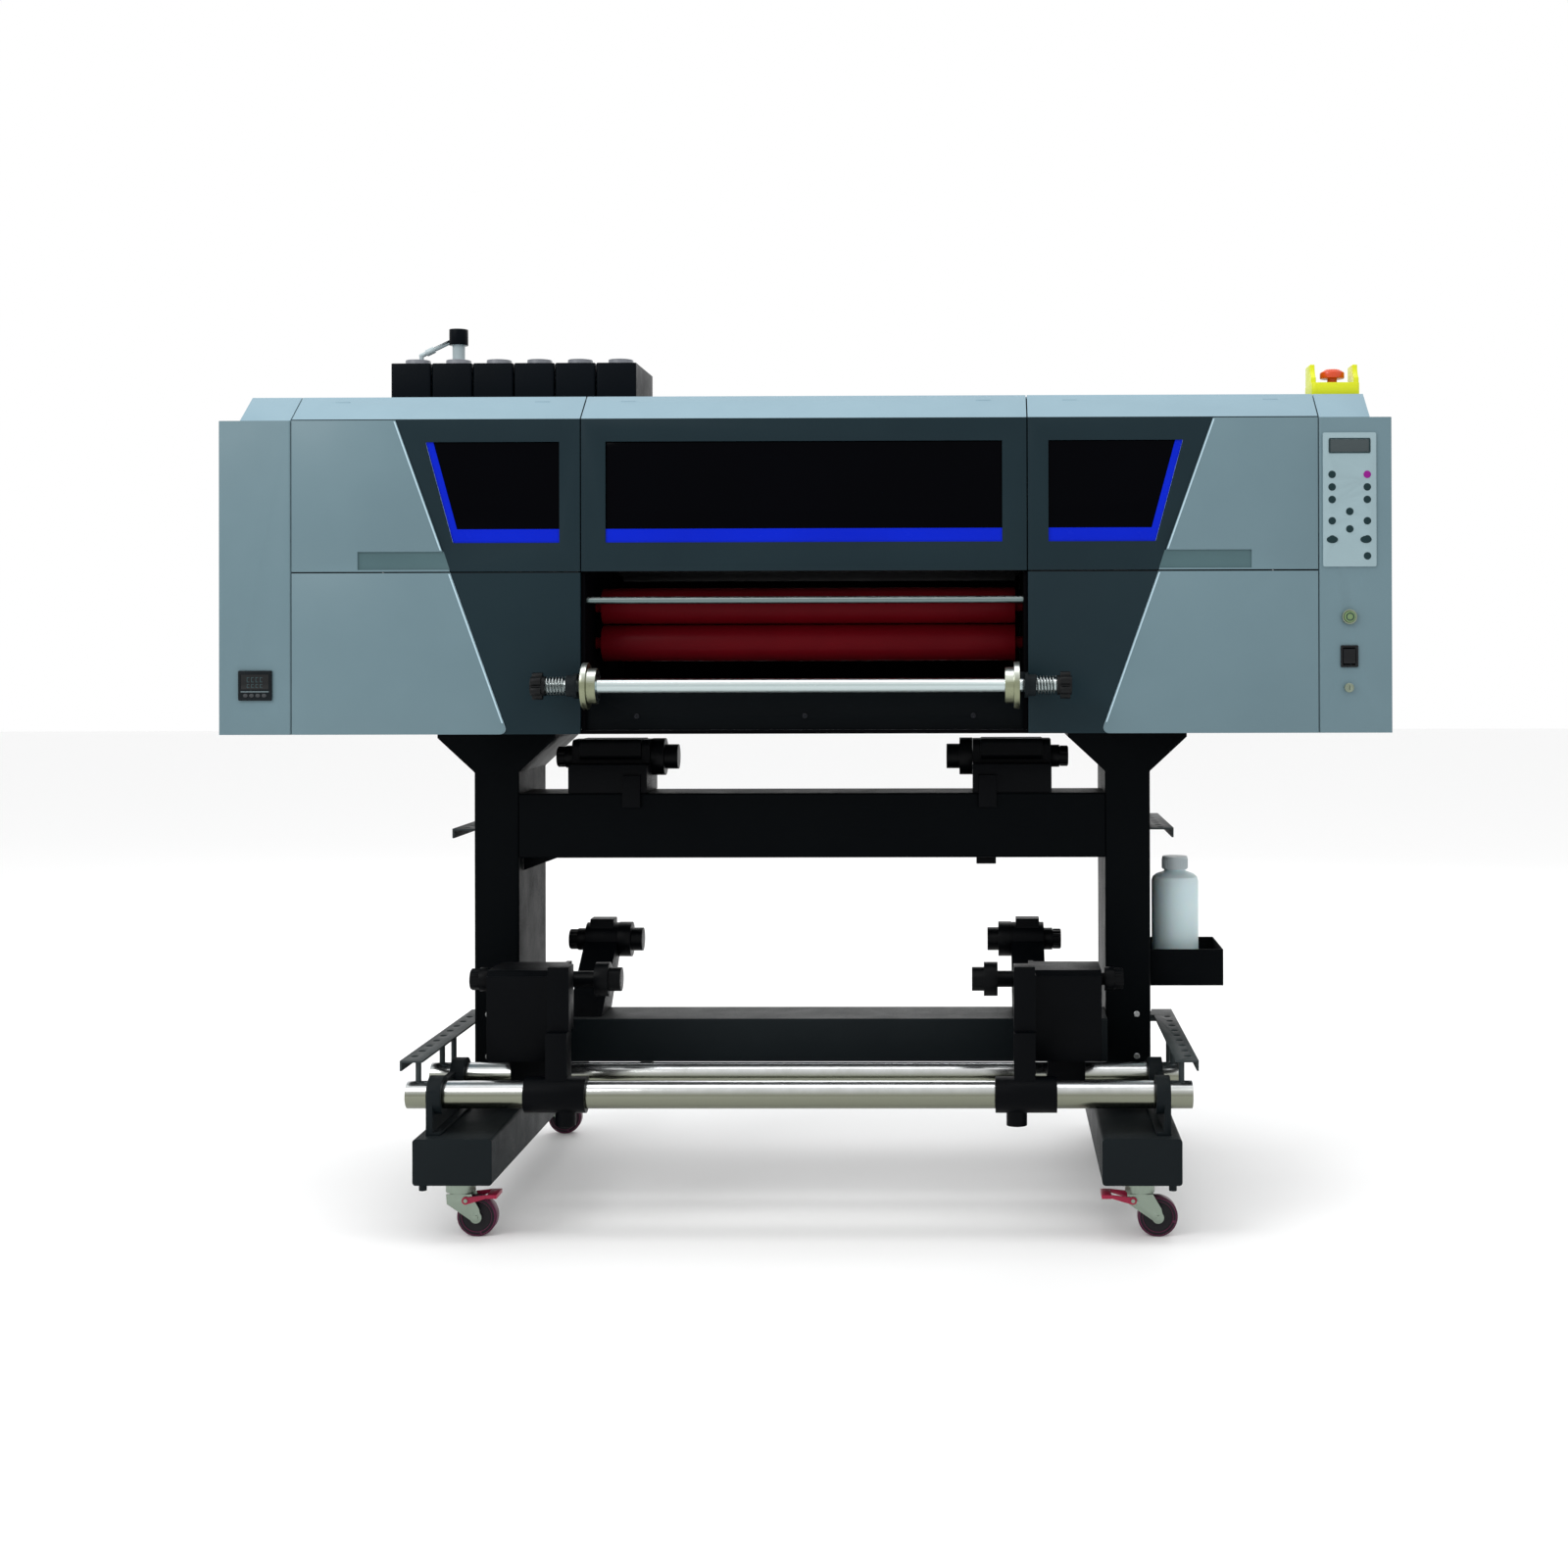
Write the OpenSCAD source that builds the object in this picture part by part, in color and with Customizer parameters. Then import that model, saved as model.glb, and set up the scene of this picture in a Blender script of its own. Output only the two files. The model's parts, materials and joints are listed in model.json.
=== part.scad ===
// Roll-to-roll film printer with a laminating station on a wheeled stand.
// Millimetres, +Z up, front towards -Y. The origin lies on the floor under the middle of the machine.

/* [Overall] */
// Width across the two end cabinets
machine_w = 1880; // [1700:10:2300]
// Length of the feet, front to back
foot_len = 800; // [760:10:1100]
// Height of the underside of the head above the floor
head_bottom = 774; // [760:1:950]
// Height of the end cabinets
head_h = 504; // [480:2:620]
// Depth of the head from its front panels to its back panel
head_depth = 520; // [500:5:640]
// Distance of the front panels ahead of the middle of the machine
head_front = 250; // [240:5:270]

/* [Head skins] */
// Width of one end cabinet
cabinet_w = 117; // [105:1:160]
// Step of the hood in from the outer side of each cabinet
hood_step = 35; // [20:1:60]
// Thickness of the skins
skin = 3; // [2:0.5:4]
// Gap between neighbouring panels
seam = 2; // [1:0.5:4]
// Height of the covers' lower edge above the underside of the head
seam_rise = 261; // [240:1:300]
// Rise of the sloped strip along the top of the covers
slope_h = 44; // [35:1:60]
// Depth of the sloped strip
slope_d = 60; // [50:1:80]
// Width of the laminator opening
opening_w = 716; // [700:2:900]
// Height of the outer panel fields above the inner ones
field_step = 2.5; // [1:0.5:4]
// Distance from the cabinet to the upper end of the slanted panel edge
slant_top = 168; // [120:1:200]
// Distance from the opening to the lower end of the slanted panel edge
slant_foot = 122; // [90:1:160]

/* [Windows] */
// Height of the windows' lower edge above the lower edge of the covers
window_rise = 46; // [30:1:60]
// Height of the windows
window_h = 162; // [120:1:180]
// Margin beside the centre window
centre_margin = 40; // [25:1:80]
// Margin between the opening and a side window
side_margin = 34; // [25:1:60]
// Width of a side window along its upper edge
side_window_top = 215; // [150:1:230]
// Width of a side window along its lower edge
side_window_foot = 171; // [120:1:180]
// Thickness of the panes
pane = 4; // [3:0.5:6]

/* [Cover hinges] */
// Diameter of the hinge pins
pin_d = 6; // [4:0.5:6]
// Width of a hinge knuckle
knuckle_w = 24; // [16:1:40]
// Distance of the hinge line behind the upper edge of the covers
hinge_back = 12; // [12:0.5:14]
// Depth of the hinge line below the top of the hood
hinge_drop = 11; // [11:0.5:13]

/* [Laminator] */
// Diameter of the laminating rollers
roller_d = 60; // [50:1:64]
// Length of the rollers' faces
roller_len = 680; // [600:5:690]
// Gap between the two rollers
roller_nip = 1; // [0.5:0.5:3]
// Height of the lower roller's axis above the underside of the head
roller_rise = 146; // [130:1:160]
// Distance of the rollers' axes behind the front panels
roller_back = 110; // [95:1:125]
// Diameter of the rollers' journals
journal_d = 20; // [14:1:24]
// Diameter of the guide bar above the rollers
guide_d = 12; // [8:1:16]
// Height of the guide bar above the underside of the head
guide_rise = 215; // [205:1:225]
// Distance of the guide bar behind the front panels
guide_back = 28; // [20:1:36]
// Height of the apron's upper edge above the underside of the head
apron_h = 65; // [50:1:65]
// Diameter of the film shaft
shaft_d = 22; // [18:1:26]
// Length of the film shaft over its knobs
shaft_len = 852; // [840:2:880]
// Height of the film shaft above the underside of the head
shaft_rise = 78; // [70:1:90]
// Distance of the film shaft ahead of the front panels
shaft_out = 50; // [46:1:70]
// Diameter of the film shaft's core flanges
flange_d = 74; // [60:1:80]
// Thickness of the core flanges
flange_t = 23; // [15:1:30]
// Outer diameter of the tension springs
spring_d = 31; // [29:1:36]
// Length of the tension springs
spring_len = 30; // [20:1:33]
// Diameter of the star knobs
star_d = 43; // [34:1:50]
// Thickness of the star knobs
star_t = 23; // [16:1:26]

/* [Stand] */
// Distance between the middles of the two legs
leg_spacing = 1055; // [1000:5:1500]
// Width of a leg
leg_w = 75; // [60:1:90]
// Depth of a leg
leg_d = 220; // [180:5:260]
// Distance of the legs' front face ahead of the middle
leg_front = 100; // [90:5:120]
// Width of a leg's flared head
leg_head_w = 198; // [150:2:240]
// Height of a leg's flare with its top plate
flare_h = 69; // [50:1:90]
// Wall of the legs, feet and crossbars
wall = 3; // [2:0.5:5]
// Width of a foot
foot_w = 122; // [100:2:150]
// Height of a foot
foot_h = 71; // [60:1:90]
// Upper crossbar: height of its lower face above the floor
upper_bar_z = 561; // [515:1:575]
// Upper crossbar: its height
upper_bar_h = 108; // [80:1:108]
// Lower crossbar: height of its lower face above the floor
lower_bar_z = 230; // [215:1:245]
// Lower crossbar: its height
lower_bar_h = 71; // [60:1:80]
// Depth of both crossbars
bar_d = 120; // [100:5:125]

/* [Guide tubes] */
// Diameter of the two guide tubes
tube_d = 43; // [36:1:46]
// Height of the guide tubes above the floor
tube_z = 219; // [210:1:225]
// Distance of the front guide tube ahead of the middle
tube_front = 350; // [345:1:365]
// Distance of the rear guide tube ahead of the middle
tube_rear = 205; // [200:1:212]
// Reach of the guide tubes past the middles of the legs
tube_over = 81; // [70:1:100]

/* [Casters] */
// Height of a caster from the floor to the foot
caster_h = 90; // [84:1:100]
// Diameter of the wheels
wheel_d = 62; // [50:1:68]
// Width of the wheels
wheel_w = 22; // [16:1:26]
// Offset of the wheels' axles from the swivel axis
trail = 27; // [18:1:30]
// Distance of the casters from the ends of the feet
caster_in = 55; // [45:1:80]

/* [Roll holders] */
// Upper holder on the left: its distance from the middle
upper_left_x = 342; // [250:1:370]
// Upper holder on the right: its distance from the middle
upper_right_x = 335; // [250:1:370]
// Middle holder on the left: its distance from the middle
mid_left_x = 375; // [250:1:380]
// Middle holder on the right: its distance from the middle
mid_right_x = 363; // [250:1:380]
// Lower holder on the left: its distance from the middle
lower_left_x = 445; // [330:1:460]
// Lower holder on the right: its distance from the middle
lower_right_x = 419; // [330:1:460]
// Diameter of the chucks' spindles
spindle_d = 20; // [16:1:24]
// Running clearance of shafts in their bores, on the radius
run_gap = 0.1; // [0.05:0.01:0.1]
// Gap left between pieces that slide or turn past each other
slide_gap = 0.3; // [0.3:0.1:1]

/* [Waste bottle] */
// Diameter of the bottle
bottle_d = 80; // [60:1:84]
// Height of the bottle with its cap
bottle_h = 208; // [150:1:220]
// Height of the tray's floor above the floor
tray_z = 342; // [315:1:365]
// Height of the tray's walls
tray_h = 61; // [40:1:70]
// Width of the tray
tray_w = 125; // [120:1:150]

/* [Ink] */
// Number of ink tanks
tank_count = 6; // [4:1:6]
// Width of one tank
tank_w = 70; // [60:1:80]
// Depth of a tank
tank_d = 190; // [150:1:200]
// Height of a tank with its cap
tank_h = 105; // [80:1:120]
// Distance of the first tank from the outer edge of the left cover
tank_in = 70; // [40:1:80]

/* [Controls] */
// Width of the keypad
keypad_w = 85; // [70:1:90]
// Height of the keypad
keypad_h = 214; // [180:1:230]
// Diameter of the start button
start_d = 18; // [14:1:22]
// Width of the rocker switch
rocker_w = 20; // [16:1:24]
// Height of the rocker switch
rocker_h = 24; // [20:1:30]
// Diameter of the emergency stop's mushroom head
mushroom_d = 40; // [30:1:44]
// Width of the mains inlet's socket
inlet_w = 25; // [22:1:30]
// Height of the mains inlet's socket
inlet_h = 17; // [16:1:20]

/* [Hidden] */
$fn = 48;

// Colours
black = "#16191b";
slate = "#243338";
light_grey = "#7d929e";
silver = "#c9ccce";
dark_red = "#5a0a0f";
zinc = "#a8aeb0";

// Head
half_w = machine_w / 2;
seam_x = half_w - cabinet_w;
bay = opening_w / 2;
front_y = -head_front;
back_y = front_y + head_depth;
cab_top = head_bottom + head_h;
hood_top = cab_top + slope_h;
door_z = head_bottom + seam_rise;
field_y = front_y + field_step;
skin_back = field_y + skin;
strip_top_y = front_y + slope_d;
hinge_y = strip_top_y + hinge_back;
hinge_z = hood_top - hinge_drop;
hood_skin_top = hood_top - 2;
hood_skin_z = hood_skin_top - skin;
hood_front_y = hinge_y - 4;
base_t = 6;
base_top = head_bottom + base_t;
plate_t = 6;
plate_in = bay - plate_t;
slant_top_x = seam_x - slant_top;
slant_foot_x = bay + slant_foot;
slant_foot_z = head_bottom + 14;
slant_foot_r = 9;
knuckle_d = pin_d + 4.5;

// Laminator
roller_y = front_y + roller_back;
roller_low_z = head_bottom + roller_rise;
roller_high_z = roller_low_z + roller_d + roller_nip;
shaft_y = front_y - shaft_out;
shaft_z = head_bottom + shaft_rise;
bracket_t = 6;
spring_x = plate_in + bracket_t + 14;

// Print station, from the top of the platen
platen_z = door_z + 30;
platen_t = 20;
beam_y = front_y + 312;
beam_z = platen_z + 70;
beam_h = 70;
beam_d = 60;
rail_t = 12;
rail_h = 15;
rail_z = beam_z + 28;
tower_x = seam_x - 17;
carriage_w = 190;
carriage_x = tower_x - 166;
cap_gap = 7;

// Stand
leg_x = leg_spacing / 2;
foot_top = caster_h + foot_h;
leg_in = leg_x - leg_w / 2;
leg_out = leg_x + leg_w / 2;
upper_bar_y = -leg_front;
lower_bar_y = -leg_front - 50;
upper_bar_top = upper_bar_z + upper_bar_h;
lower_bar_top = lower_bar_z + lower_bar_h;
caster_y = foot_len / 2 - caster_in;
pad_t = 3;
king_pin_d = 10;
fork_gap = 2.5;
cheek_t = 3;

// Controls
control_x = seam_x + 48;
keypad_z = head_bottom + 372;
start_z = head_bottom + 185;
rocker_z = head_bottom + 122;
key_z = head_bottom + 72;
inlet_z = head_bottom + 70;
inlet_wall = 3;
inlet_flange = 11;
meter_x = seam_x + 57;
meter_z = head_bottom + 79;
rocker_slot_w = rocker_w + 1;
rocker_slot_h = rocker_h + 4;
stop_x = seam_x + 42;
stop_y = strip_top_y + 60;

// Ink
tank_pitch = tank_w + 2.4;
tank_y = back_y - tank_d - 5;
cap_h = 11;
tank_top = hood_skin_top + tank_h;
motor_top = tank_top + 55;

// Waste bottle
tray_wall = 2;
bottle_x = leg_out + tray_wall + bottle_d / 2 + 9;
bottle_y = -leg_front + leg_d / 2;
bottle_z = tray_z + tray_wall + slide_gap;
bottle_cap_h = 22;

function slant_x(z) = slant_foot_x
    + (z - slant_foot_z) * (slant_top_x - slant_foot_x) / (cab_top - slant_foot_z);
function tank_x(i) = -seam_x + tank_in + tank_w / 2 + i * tank_pitch;

// ---- shared shapes ----
module box(a, b) { translate(a) cube(b - a); }

module both_sides() {
    children();
    mirror([1, 0, 0]) children();
}

module round_rect(w, h, r) {
    square([w - 2 * r, h], center = true);
    square([w, h - 2 * r], center = true);
    for (sx = [-1, 1], sy = [-1, 1]) translate([sx * (w / 2 - r), sy * (h / 2 - r)]) circle(r = r);
}

// A flat shape drawn in X and Z, thickened from y towards +Y
module xz_plate(y, t) { translate([0, y + t, 0]) rotate([90, 0, 0]) linear_extrude(t) children(); }

// A profile drawn in Y and Z, run along X
module yz_bar(x, w) { translate([x, 0, 0]) rotate([90, 0, 90]) linear_extrude(w) children(); }

module x_rod(d, x0, x1, y, z) { translate([x0, y, z]) rotate([0, 90, 0]) cylinder(d = d, h = x1 - x0); }

module y_rod(d, x, y0, y1, z) { translate([x, y1, z]) rotate([90, 0, 0]) cylinder(d = d, h = y1 - y0); }

module hollow_rect(w, h, r, t) {
    difference() {
        round_rect(w, h, r);
        round_rect(w - 2 * t, h - 2 * t, max(r - t, 0.5));
    }
}

// Places a piece drawn with its outer side towards +X on the left (-1) or right (1) of the machine
module on_side(side, x) { translate([side * x, 0, 0]) mirror([side < 0 ? 1 : 0, 0, 0]) children(); }

// ---- stand ----
module one_foot() {
    translate([0, foot_len / 2, caster_h + foot_h / 2]) rotate([90, 0, 0]) {
        linear_extrude(foot_len) hollow_rect(foot_w, foot_h, 5, wall);
        linear_extrude(wall) round_rect(foot_w, foot_h, 5);
        translate([0, 0, foot_len - wall]) linear_extrude(wall) round_rect(foot_w, foot_h, 5);
    }
    for (sy = [-1, 1]) translate([0, sy * caster_y, 0]) {
        translate([-32, -32, caster_h - pad_t]) cube([64, 64, pad_t]);
        translate([0, 0, caster_h - 15]) cylinder(d = king_pin_d, h = 15);
    }
    translate([foot_w / 2 - 14, -foot_len / 2 + 9, caster_h - 9]) cylinder(d = 12, h = 10);
}

module feet() {
    color(black) both_sides() translate([leg_x, 0, 0]) one_foot();
}

module leg_outline(in) {
    low = head_bottom - flare_h;
    w = leg_w / 2 - in;
    hw = leg_head_w / 2 - in;
    polygon([[-w, low - 1], [w, low - 1], [w, low], [hw, head_bottom - 12], [hw, head_bottom - 5],
        [-hw, head_bottom - 5], [-hw, head_bottom - 12], [-w, low]]);
}

module one_leg() {
    low = head_bottom - flare_h;
    translate([0, -leg_front + leg_d / 2, foot_top]) linear_extrude(low - foot_top)
        hollow_rect(leg_w, leg_d, 4, wall);
    difference() {
        xz_plate(-leg_front, leg_d) leg_outline(0);
        xz_plate(-leg_front + wall, leg_d - 2 * wall) leg_outline(wall);
    }
    box([-leg_head_w / 2, -leg_front, head_bottom - 5], [leg_head_w / 2, leg_d - leg_front, head_bottom]);
    translate([-leg_w / 2 - 12, -leg_front - 12, foot_top]) cube([12, leg_d * 0.6, 30]);
}

module legs() {
    color(black) both_sides() translate([leg_x, 0, 0]) one_leg();
}

module crossbar(y, z, h) {
    translate([-leg_in, y + bar_d / 2, z + h / 2]) rotate([90, 0, 90]) {
        linear_extrude(2 * leg_in) hollow_rect(bar_d, h, 4, wall);
        for (x = [0, 2 * leg_in - wall]) translate([0, 0, x]) linear_extrude(wall) round_rect(bar_d, h, 4);
    }
}

module crossbars() {
    color(black) {
        crossbar(upper_bar_y, upper_bar_z, upper_bar_h);
        crossbar(lower_bar_y, lower_bar_z, lower_bar_h);
    }
}

module guide_tubes() {
    reach = leg_x + tube_over;
    color(silver) for (y = [-tube_front, -tube_rear]) difference() {
        x_rod(tube_d, -reach, reach, y, tube_z);
        x_rod(tube_d - 5, -reach - 1, -reach + 30, y, tube_z);
        x_rod(tube_d - 5, reach - 30, reach + 1, y, tube_z);
    }
}

module tube_end_plates() {
    bore = tube_d + 2 * run_gap;
    color(black) both_sides() difference() {
        union() {
            box([leg_x + 36, -tube_front - 28, foot_top], [leg_x + 46, -tube_rear + 28, tube_z + 12]);
            box([leg_x + 24, -tube_front - 28, foot_top], [leg_x + 46, -tube_rear + 28, foot_top + 5]);
            for (y = [-tube_front, -tube_rear]) x_rod(tube_d + 16, leg_x + 24, leg_x + 46, y, tube_z);
        }
        for (y = [-tube_front, -tube_rear]) x_rod(bore, leg_x + 20, leg_x + 50, y, tube_z);
    }
}

module side_arms() {
    arm_z = tube_z + 52;
    inner = leg_out + 17;
    outer = leg_x + tube_over + 9;
    tip = -tube_front - 14;
    upper_z = upper_bar_z + 45;
    upper_out = outer - 12;
    color("#60686c") both_sides() {
        difference() {
            union() {
                box([inner, tip, arm_z], [outer, leg_front, arm_z + 3]);
                box([outer - 3, tip, arm_z - 13], [outer, leg_front, arm_z + 3]);
                box([leg_out, leg_front - 60, arm_z - 8], [inner + 4, leg_front - 20, arm_z + 3]);
                for (y = [-tube_front, -tube_rear, -tube_rear + 75])
                    translate([inner + 10, y, tube_z]) cylinder(d = 9, h = arm_z - tube_z);
            }
            for (y = [-tube_front, -tube_rear])
                x_rod(tube_d + 2 * run_gap, leg_x, outer + 5, y, tube_z);
            for (i = [0:8]) translate([(inner + outer) / 2 + 4, tip + 36 + i * 44, arm_z - 1])
                cylinder(d = 12, h = 5);
        }
        difference() {
            union() {
                box([leg_out, -leg_front + 15, upper_z], [upper_out, back_y - 40, upper_z + 3]);
                box([upper_out - 3, -leg_front + 15, upper_z - 13], [upper_out, back_y - 40, upper_z + 3]);
            }
            for (i = [0:6]) translate([(leg_out + upper_out) / 2, -leg_front + 34 + i * 44, upper_z - 1])
                cylinder(d = 12, h = 5);
        }
    }
}

module bottle_tray() {
    low = [leg_out, bottle_y - 78, tray_z];
    high = [leg_out + tray_w, bottle_y + 78, tray_z + tray_h];
    color(black) difference() {
        box(low, high);
        box(low + [tray_wall, tray_wall, tray_wall], high + [-tray_wall, -tray_wall, 1]);
    }
}

module waste_bottle() {
    neck_z = bottle_h - bottle_cap_h;
    shoulder_z = neck_z - 20;
    color("#dfe6ea") translate([bottle_x, bottle_y, bottle_z]) rotate_extrude() polygon([[0, 0],
        [bottle_d / 2 - 4, 0], [bottle_d / 2, 4], [bottle_d / 2, shoulder_z],
        [bottle_d / 2 - 2, shoulder_z + 7], [bottle_d / 2 - 8, shoulder_z + 12],
        [20, neck_z - 4], [18, neck_z - 2], [18, bottle_h - 3], [14, bottle_h - 3], [14, neck_z - 5],
        [bottle_d / 2 - 9, shoulder_z + 8], [bottle_d / 2 - 3, shoulder_z - 2], [bottle_d / 2 - 3, 5],
        [0, 3]]);
}

module bottle_cap() {
    color("#eef2f4") translate([bottle_x, bottle_y, bottle_z + bottle_h - bottle_cap_h]) difference() {
        cylinder(d = 43, h = bottle_cap_h);
        translate([0, 0, -1]) cylinder(d = 36 + 2 * slide_gap, h = bottle_cap_h - 2);
    }
}

// ---- casters ----
module on_caster(sx, sy) { translate([sx * leg_x, sy * caster_y, 0]) children(); }

module fork(pedal_side) {
    head_top = caster_h - pad_t - slide_gap;
    cheek_y = wheel_w / 2 + fork_gap;
    axle_z = wheel_d / 2;
    difference() {
        union() {
            translate([0, 0, wheel_d + 7]) cylinder(d = 46, h = head_top - wheel_d - 7);
            translate([0, 0, wheel_d + 3]) cylinder(d = 2 * cheek_y + 2 * cheek_t, h = 5);
            for (s = [-1, 1]) xz_plate(s < 0 ? -cheek_y - cheek_t : cheek_y, cheek_t) {
                polygon([[-19, wheel_d + 5], [-18, wheel_d - 10], [trail - 8, axle_z - 4], [trail + 8,
                    axle_z],
                    [trail + 5, axle_z + 14], [19, wheel_d + 5]]);
                translate([trail, axle_z]) circle(r = 9);
            }
        }
        translate([0, 0, caster_h - 16]) cylinder(d = king_pin_d + 2 * run_gap, h = 20);
    }
    y_rod(8, trail, -cheek_y - cheek_t - 3, cheek_y + cheek_t + 3, axle_z);
    if (pedal_side != 0) for (s = [-1, 1])
        y_rod(6, pedal_side * 12, s < 0 ? -cheek_y - cheek_t - 5 : cheek_y + cheek_t,
            s < 0 ? -cheek_y - cheek_t : cheek_y + cheek_t + 5, wheel_d - 4);
}

module wheel() {
    color("#5b1230") difference() {
        union() {
            y_rod(wheel_d, trail, -wheel_w / 2 + 2, wheel_w / 2 - 2, wheel_d / 2);
            y_rod(wheel_d - 5, trail, -wheel_w / 2, wheel_w / 2, wheel_d / 2);
        }
        y_rod(8 + 2 * run_gap, trail, -wheel_w, wheel_w, wheel_d / 2);
        for (s = [-1, 1]) translate([0, s * wheel_w / 2, 0]) difference() {
            y_rod(wheel_d - 16, trail, -2, 2, wheel_d / 2);
            y_rod(18, trail, -3, 3, wheel_d / 2);
        }
    }
}

// Brake pedal: two cheeks outside the fork, joined by a tread ahead of it
module pedal(side) {
    cheek_y = wheel_w / 2 + fork_gap + cheek_t + 0.6;
    tread_x = 46;
    pivot_z = wheel_d - 4;
    color("#b01820") mirror([side < 0 ? 1 : 0, 0, 0]) {
        for (s = [-1, 1]) difference() {
            xz_plate(s < 0 ? -cheek_y - 3 : cheek_y, 3) union() {
                translate([12, pivot_z]) circle(r = 6);
                polygon([[10, pivot_z - 4], [12, pivot_z + 5], [tread_x, pivot_z + 9],
                    [tread_x, pivot_z + 4], [16, pivot_z - 5]]);
            }
            y_rod(6 + 2 * run_gap, 12, -cheek_y - 5, cheek_y + 5, pivot_z);
        }
        box([tread_x - 1, -cheek_y - 3, pivot_z + 3], [tread_x + 14, cheek_y + 3, pivot_z + 9]);
    }
}

module fork_fl() { color(zinc) on_caster(-1, -1) fork(1); }
module fork_fr() { color(zinc) on_caster(1, -1) fork(-1); }
module fork_rl() { color(zinc) on_caster(-1, 1) fork(0); }
module fork_rr() { color(zinc) on_caster(1, 1) fork(0); }
module wheel_fl() { on_caster(-1, -1) wheel(); }
module wheel_fr() { on_caster(1, -1) wheel(); }
module wheel_rl() { on_caster(-1, 1) wheel(); }
module wheel_rr() { on_caster(1, 1) wheel(); }
module pedal_fl() { on_caster(-1, -1) pedal(1); }
module pedal_fr() { on_caster(1, -1) pedal(-1); }

// ---- roll holders ----
upper_half = 66;
upper_axis_z = upper_bar_top + 58;
upper_axis_y = -leg_front + 70;
mid_half = 28;
mid_axis_z = lower_bar_top + 104;
mid_axis_y = 50;
lower_half = 53;
lower_axis_z = tube_z + 162;
lower_axis_y = -tube_rear - 37;

// A chuck along X: spindle, core flange and hub on the inner side, collar and knob on the outer side
module chuck(half, y, z, stub, flange, hub, hub_len) {
    gap = half + slide_gap;
    inner = -gap - stub;
    x_rod(spindle_d, inner - 10 - hub_len, gap + 10, y, z);
    if (stub > 0) x_rod(spindle_d + 6, inner, -gap, y, z);
    x_rod(flange, inner - 22, inner, y, z);
    x_rod(hub, inner - 22 - hub_len, inner - 22, y, z);
    x_rod(38, gap, gap + 15, y, z);
    x_rod(32, gap + 15, gap + 30, y, z);
    for (a = [0:60:300]) translate([0, y, z]) rotate([a, 0, 0]) translate([gap + 16, 0, 14])
        rotate([0, 90, 0]) cylinder(d = 7, h = 13);
}

module spindle_bore(half, y, z) { x_rod(spindle_d + 2 * run_gap, -half - 50, half + 50, y, z); }

module upper_holder() {
    seat = upper_bar_top + slide_gap;
    top = upper_axis_z + 34;
    difference() {
        union() {
            box([-upper_half, upper_bar_y + 2, seat], [upper_half, upper_bar_y + bar_d - 2,
                upper_axis_z - 10]);
            yz_bar(-upper_half, 2 * upper_half) translate([upper_axis_y, upper_axis_z])
                round_rect(68, 60, 12);
            yz_bar(-upper_half + 14, 2 * upper_half - 28) translate([upper_axis_y, top - 20])
                round_rect(84, 34, 8);
            box([-upper_half + 10, upper_bar_y - 6, seat - 24], [-upper_half + 40,
                upper_bar_y - slide_gap, seat + 30]);
            box([-upper_half + 10, upper_bar_y - 6, seat], [-upper_half + 40, upper_bar_y + 4, seat + 30]);
        }
        spindle_bore(upper_half, upper_axis_y, upper_axis_z);
    }
}

module mid_holder() {
    seat = lower_bar_top + slide_gap;
    near = lower_bar_y + 20;
    far = lower_bar_y + bar_d - 1;
    difference() {
        union() {
            yz_bar(-mid_half, 2 * mid_half) polygon([[near, seat], [far, seat], [mid_axis_y + 28,
                mid_axis_z],
                [mid_axis_y - 28, mid_axis_z]]);
            x_rod(58, -mid_half, mid_half, mid_axis_y, mid_axis_z);
            yz_bar(-mid_half + 8, 2 * mid_half - 16) translate([mid_axis_y, mid_axis_z + 22])
                round_rect(40, 30, 5);
        }
        spindle_bore(mid_half, mid_axis_y, mid_axis_z);
    }
}

module lower_holder() {
    bore = tube_d + 2 * run_gap;
    box_front = -tube_front + 50;
    box_back = -tube_rear + 21;
    arm_in = -lower_half - 33;
    low = tube_z + 41;
    difference() {
        union() {
            box([-lower_half, box_front, low], [lower_half, box_back, lower_axis_z + 13]);
            yz_bar(-lower_half, 2 * lower_half) polygon([[box_front, lower_axis_z + 12],
                [box_back, lower_axis_z + 12], [box_back - 12, lower_axis_z + 21], [box_front + 12,
                    lower_axis_z + 21]]);
            box([-30, -tube_rear - 28, tube_z], [30, box_back, low + 1]);
            x_rod(56, -30, 30, -tube_rear, tube_z);
            box([-lower_half - 7, -tube_front + 5, lower_axis_z - 66], [-lower_half + 1, box_back,
                lower_axis_z + 21]);
            box([arm_in, -tube_front + 5, lower_axis_z - 66], [-lower_half, -tube_front + 45,
                lower_axis_z + 34]);
            box([arm_in, -tube_front - 14, tube_z], [-lower_half, -tube_front + 26, lower_axis_z - 65]);
            x_rod(56, arm_in - 29, arm_in + 66, -tube_front, tube_z);
            translate([arm_in + 4, -tube_front, tube_z - 47]) cylinder(d = 32, h = 30);
        }
        for (y = [-tube_front, -tube_rear]) x_rod(bore, -lower_half - 80, lower_half + 50, y, tube_z);
        spindle_bore(lower_half + 7, lower_axis_y, lower_axis_z);
    }
}

module upper_holder_l() { color(black) on_side(-1, upper_left_x) upper_holder(); }
module upper_holder_r() { color(black) on_side(1, upper_right_x) upper_holder(); }
module mid_holder_l() { color(black) on_side(-1, mid_left_x) mid_holder(); }
module mid_holder_r() { color(black) on_side(1, mid_right_x) mid_holder(); }
module lower_holder_l() { color(black) on_side(-1, lower_left_x) lower_holder(); }
module lower_holder_r() { color(black) on_side(1, lower_right_x) lower_holder(); }

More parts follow.
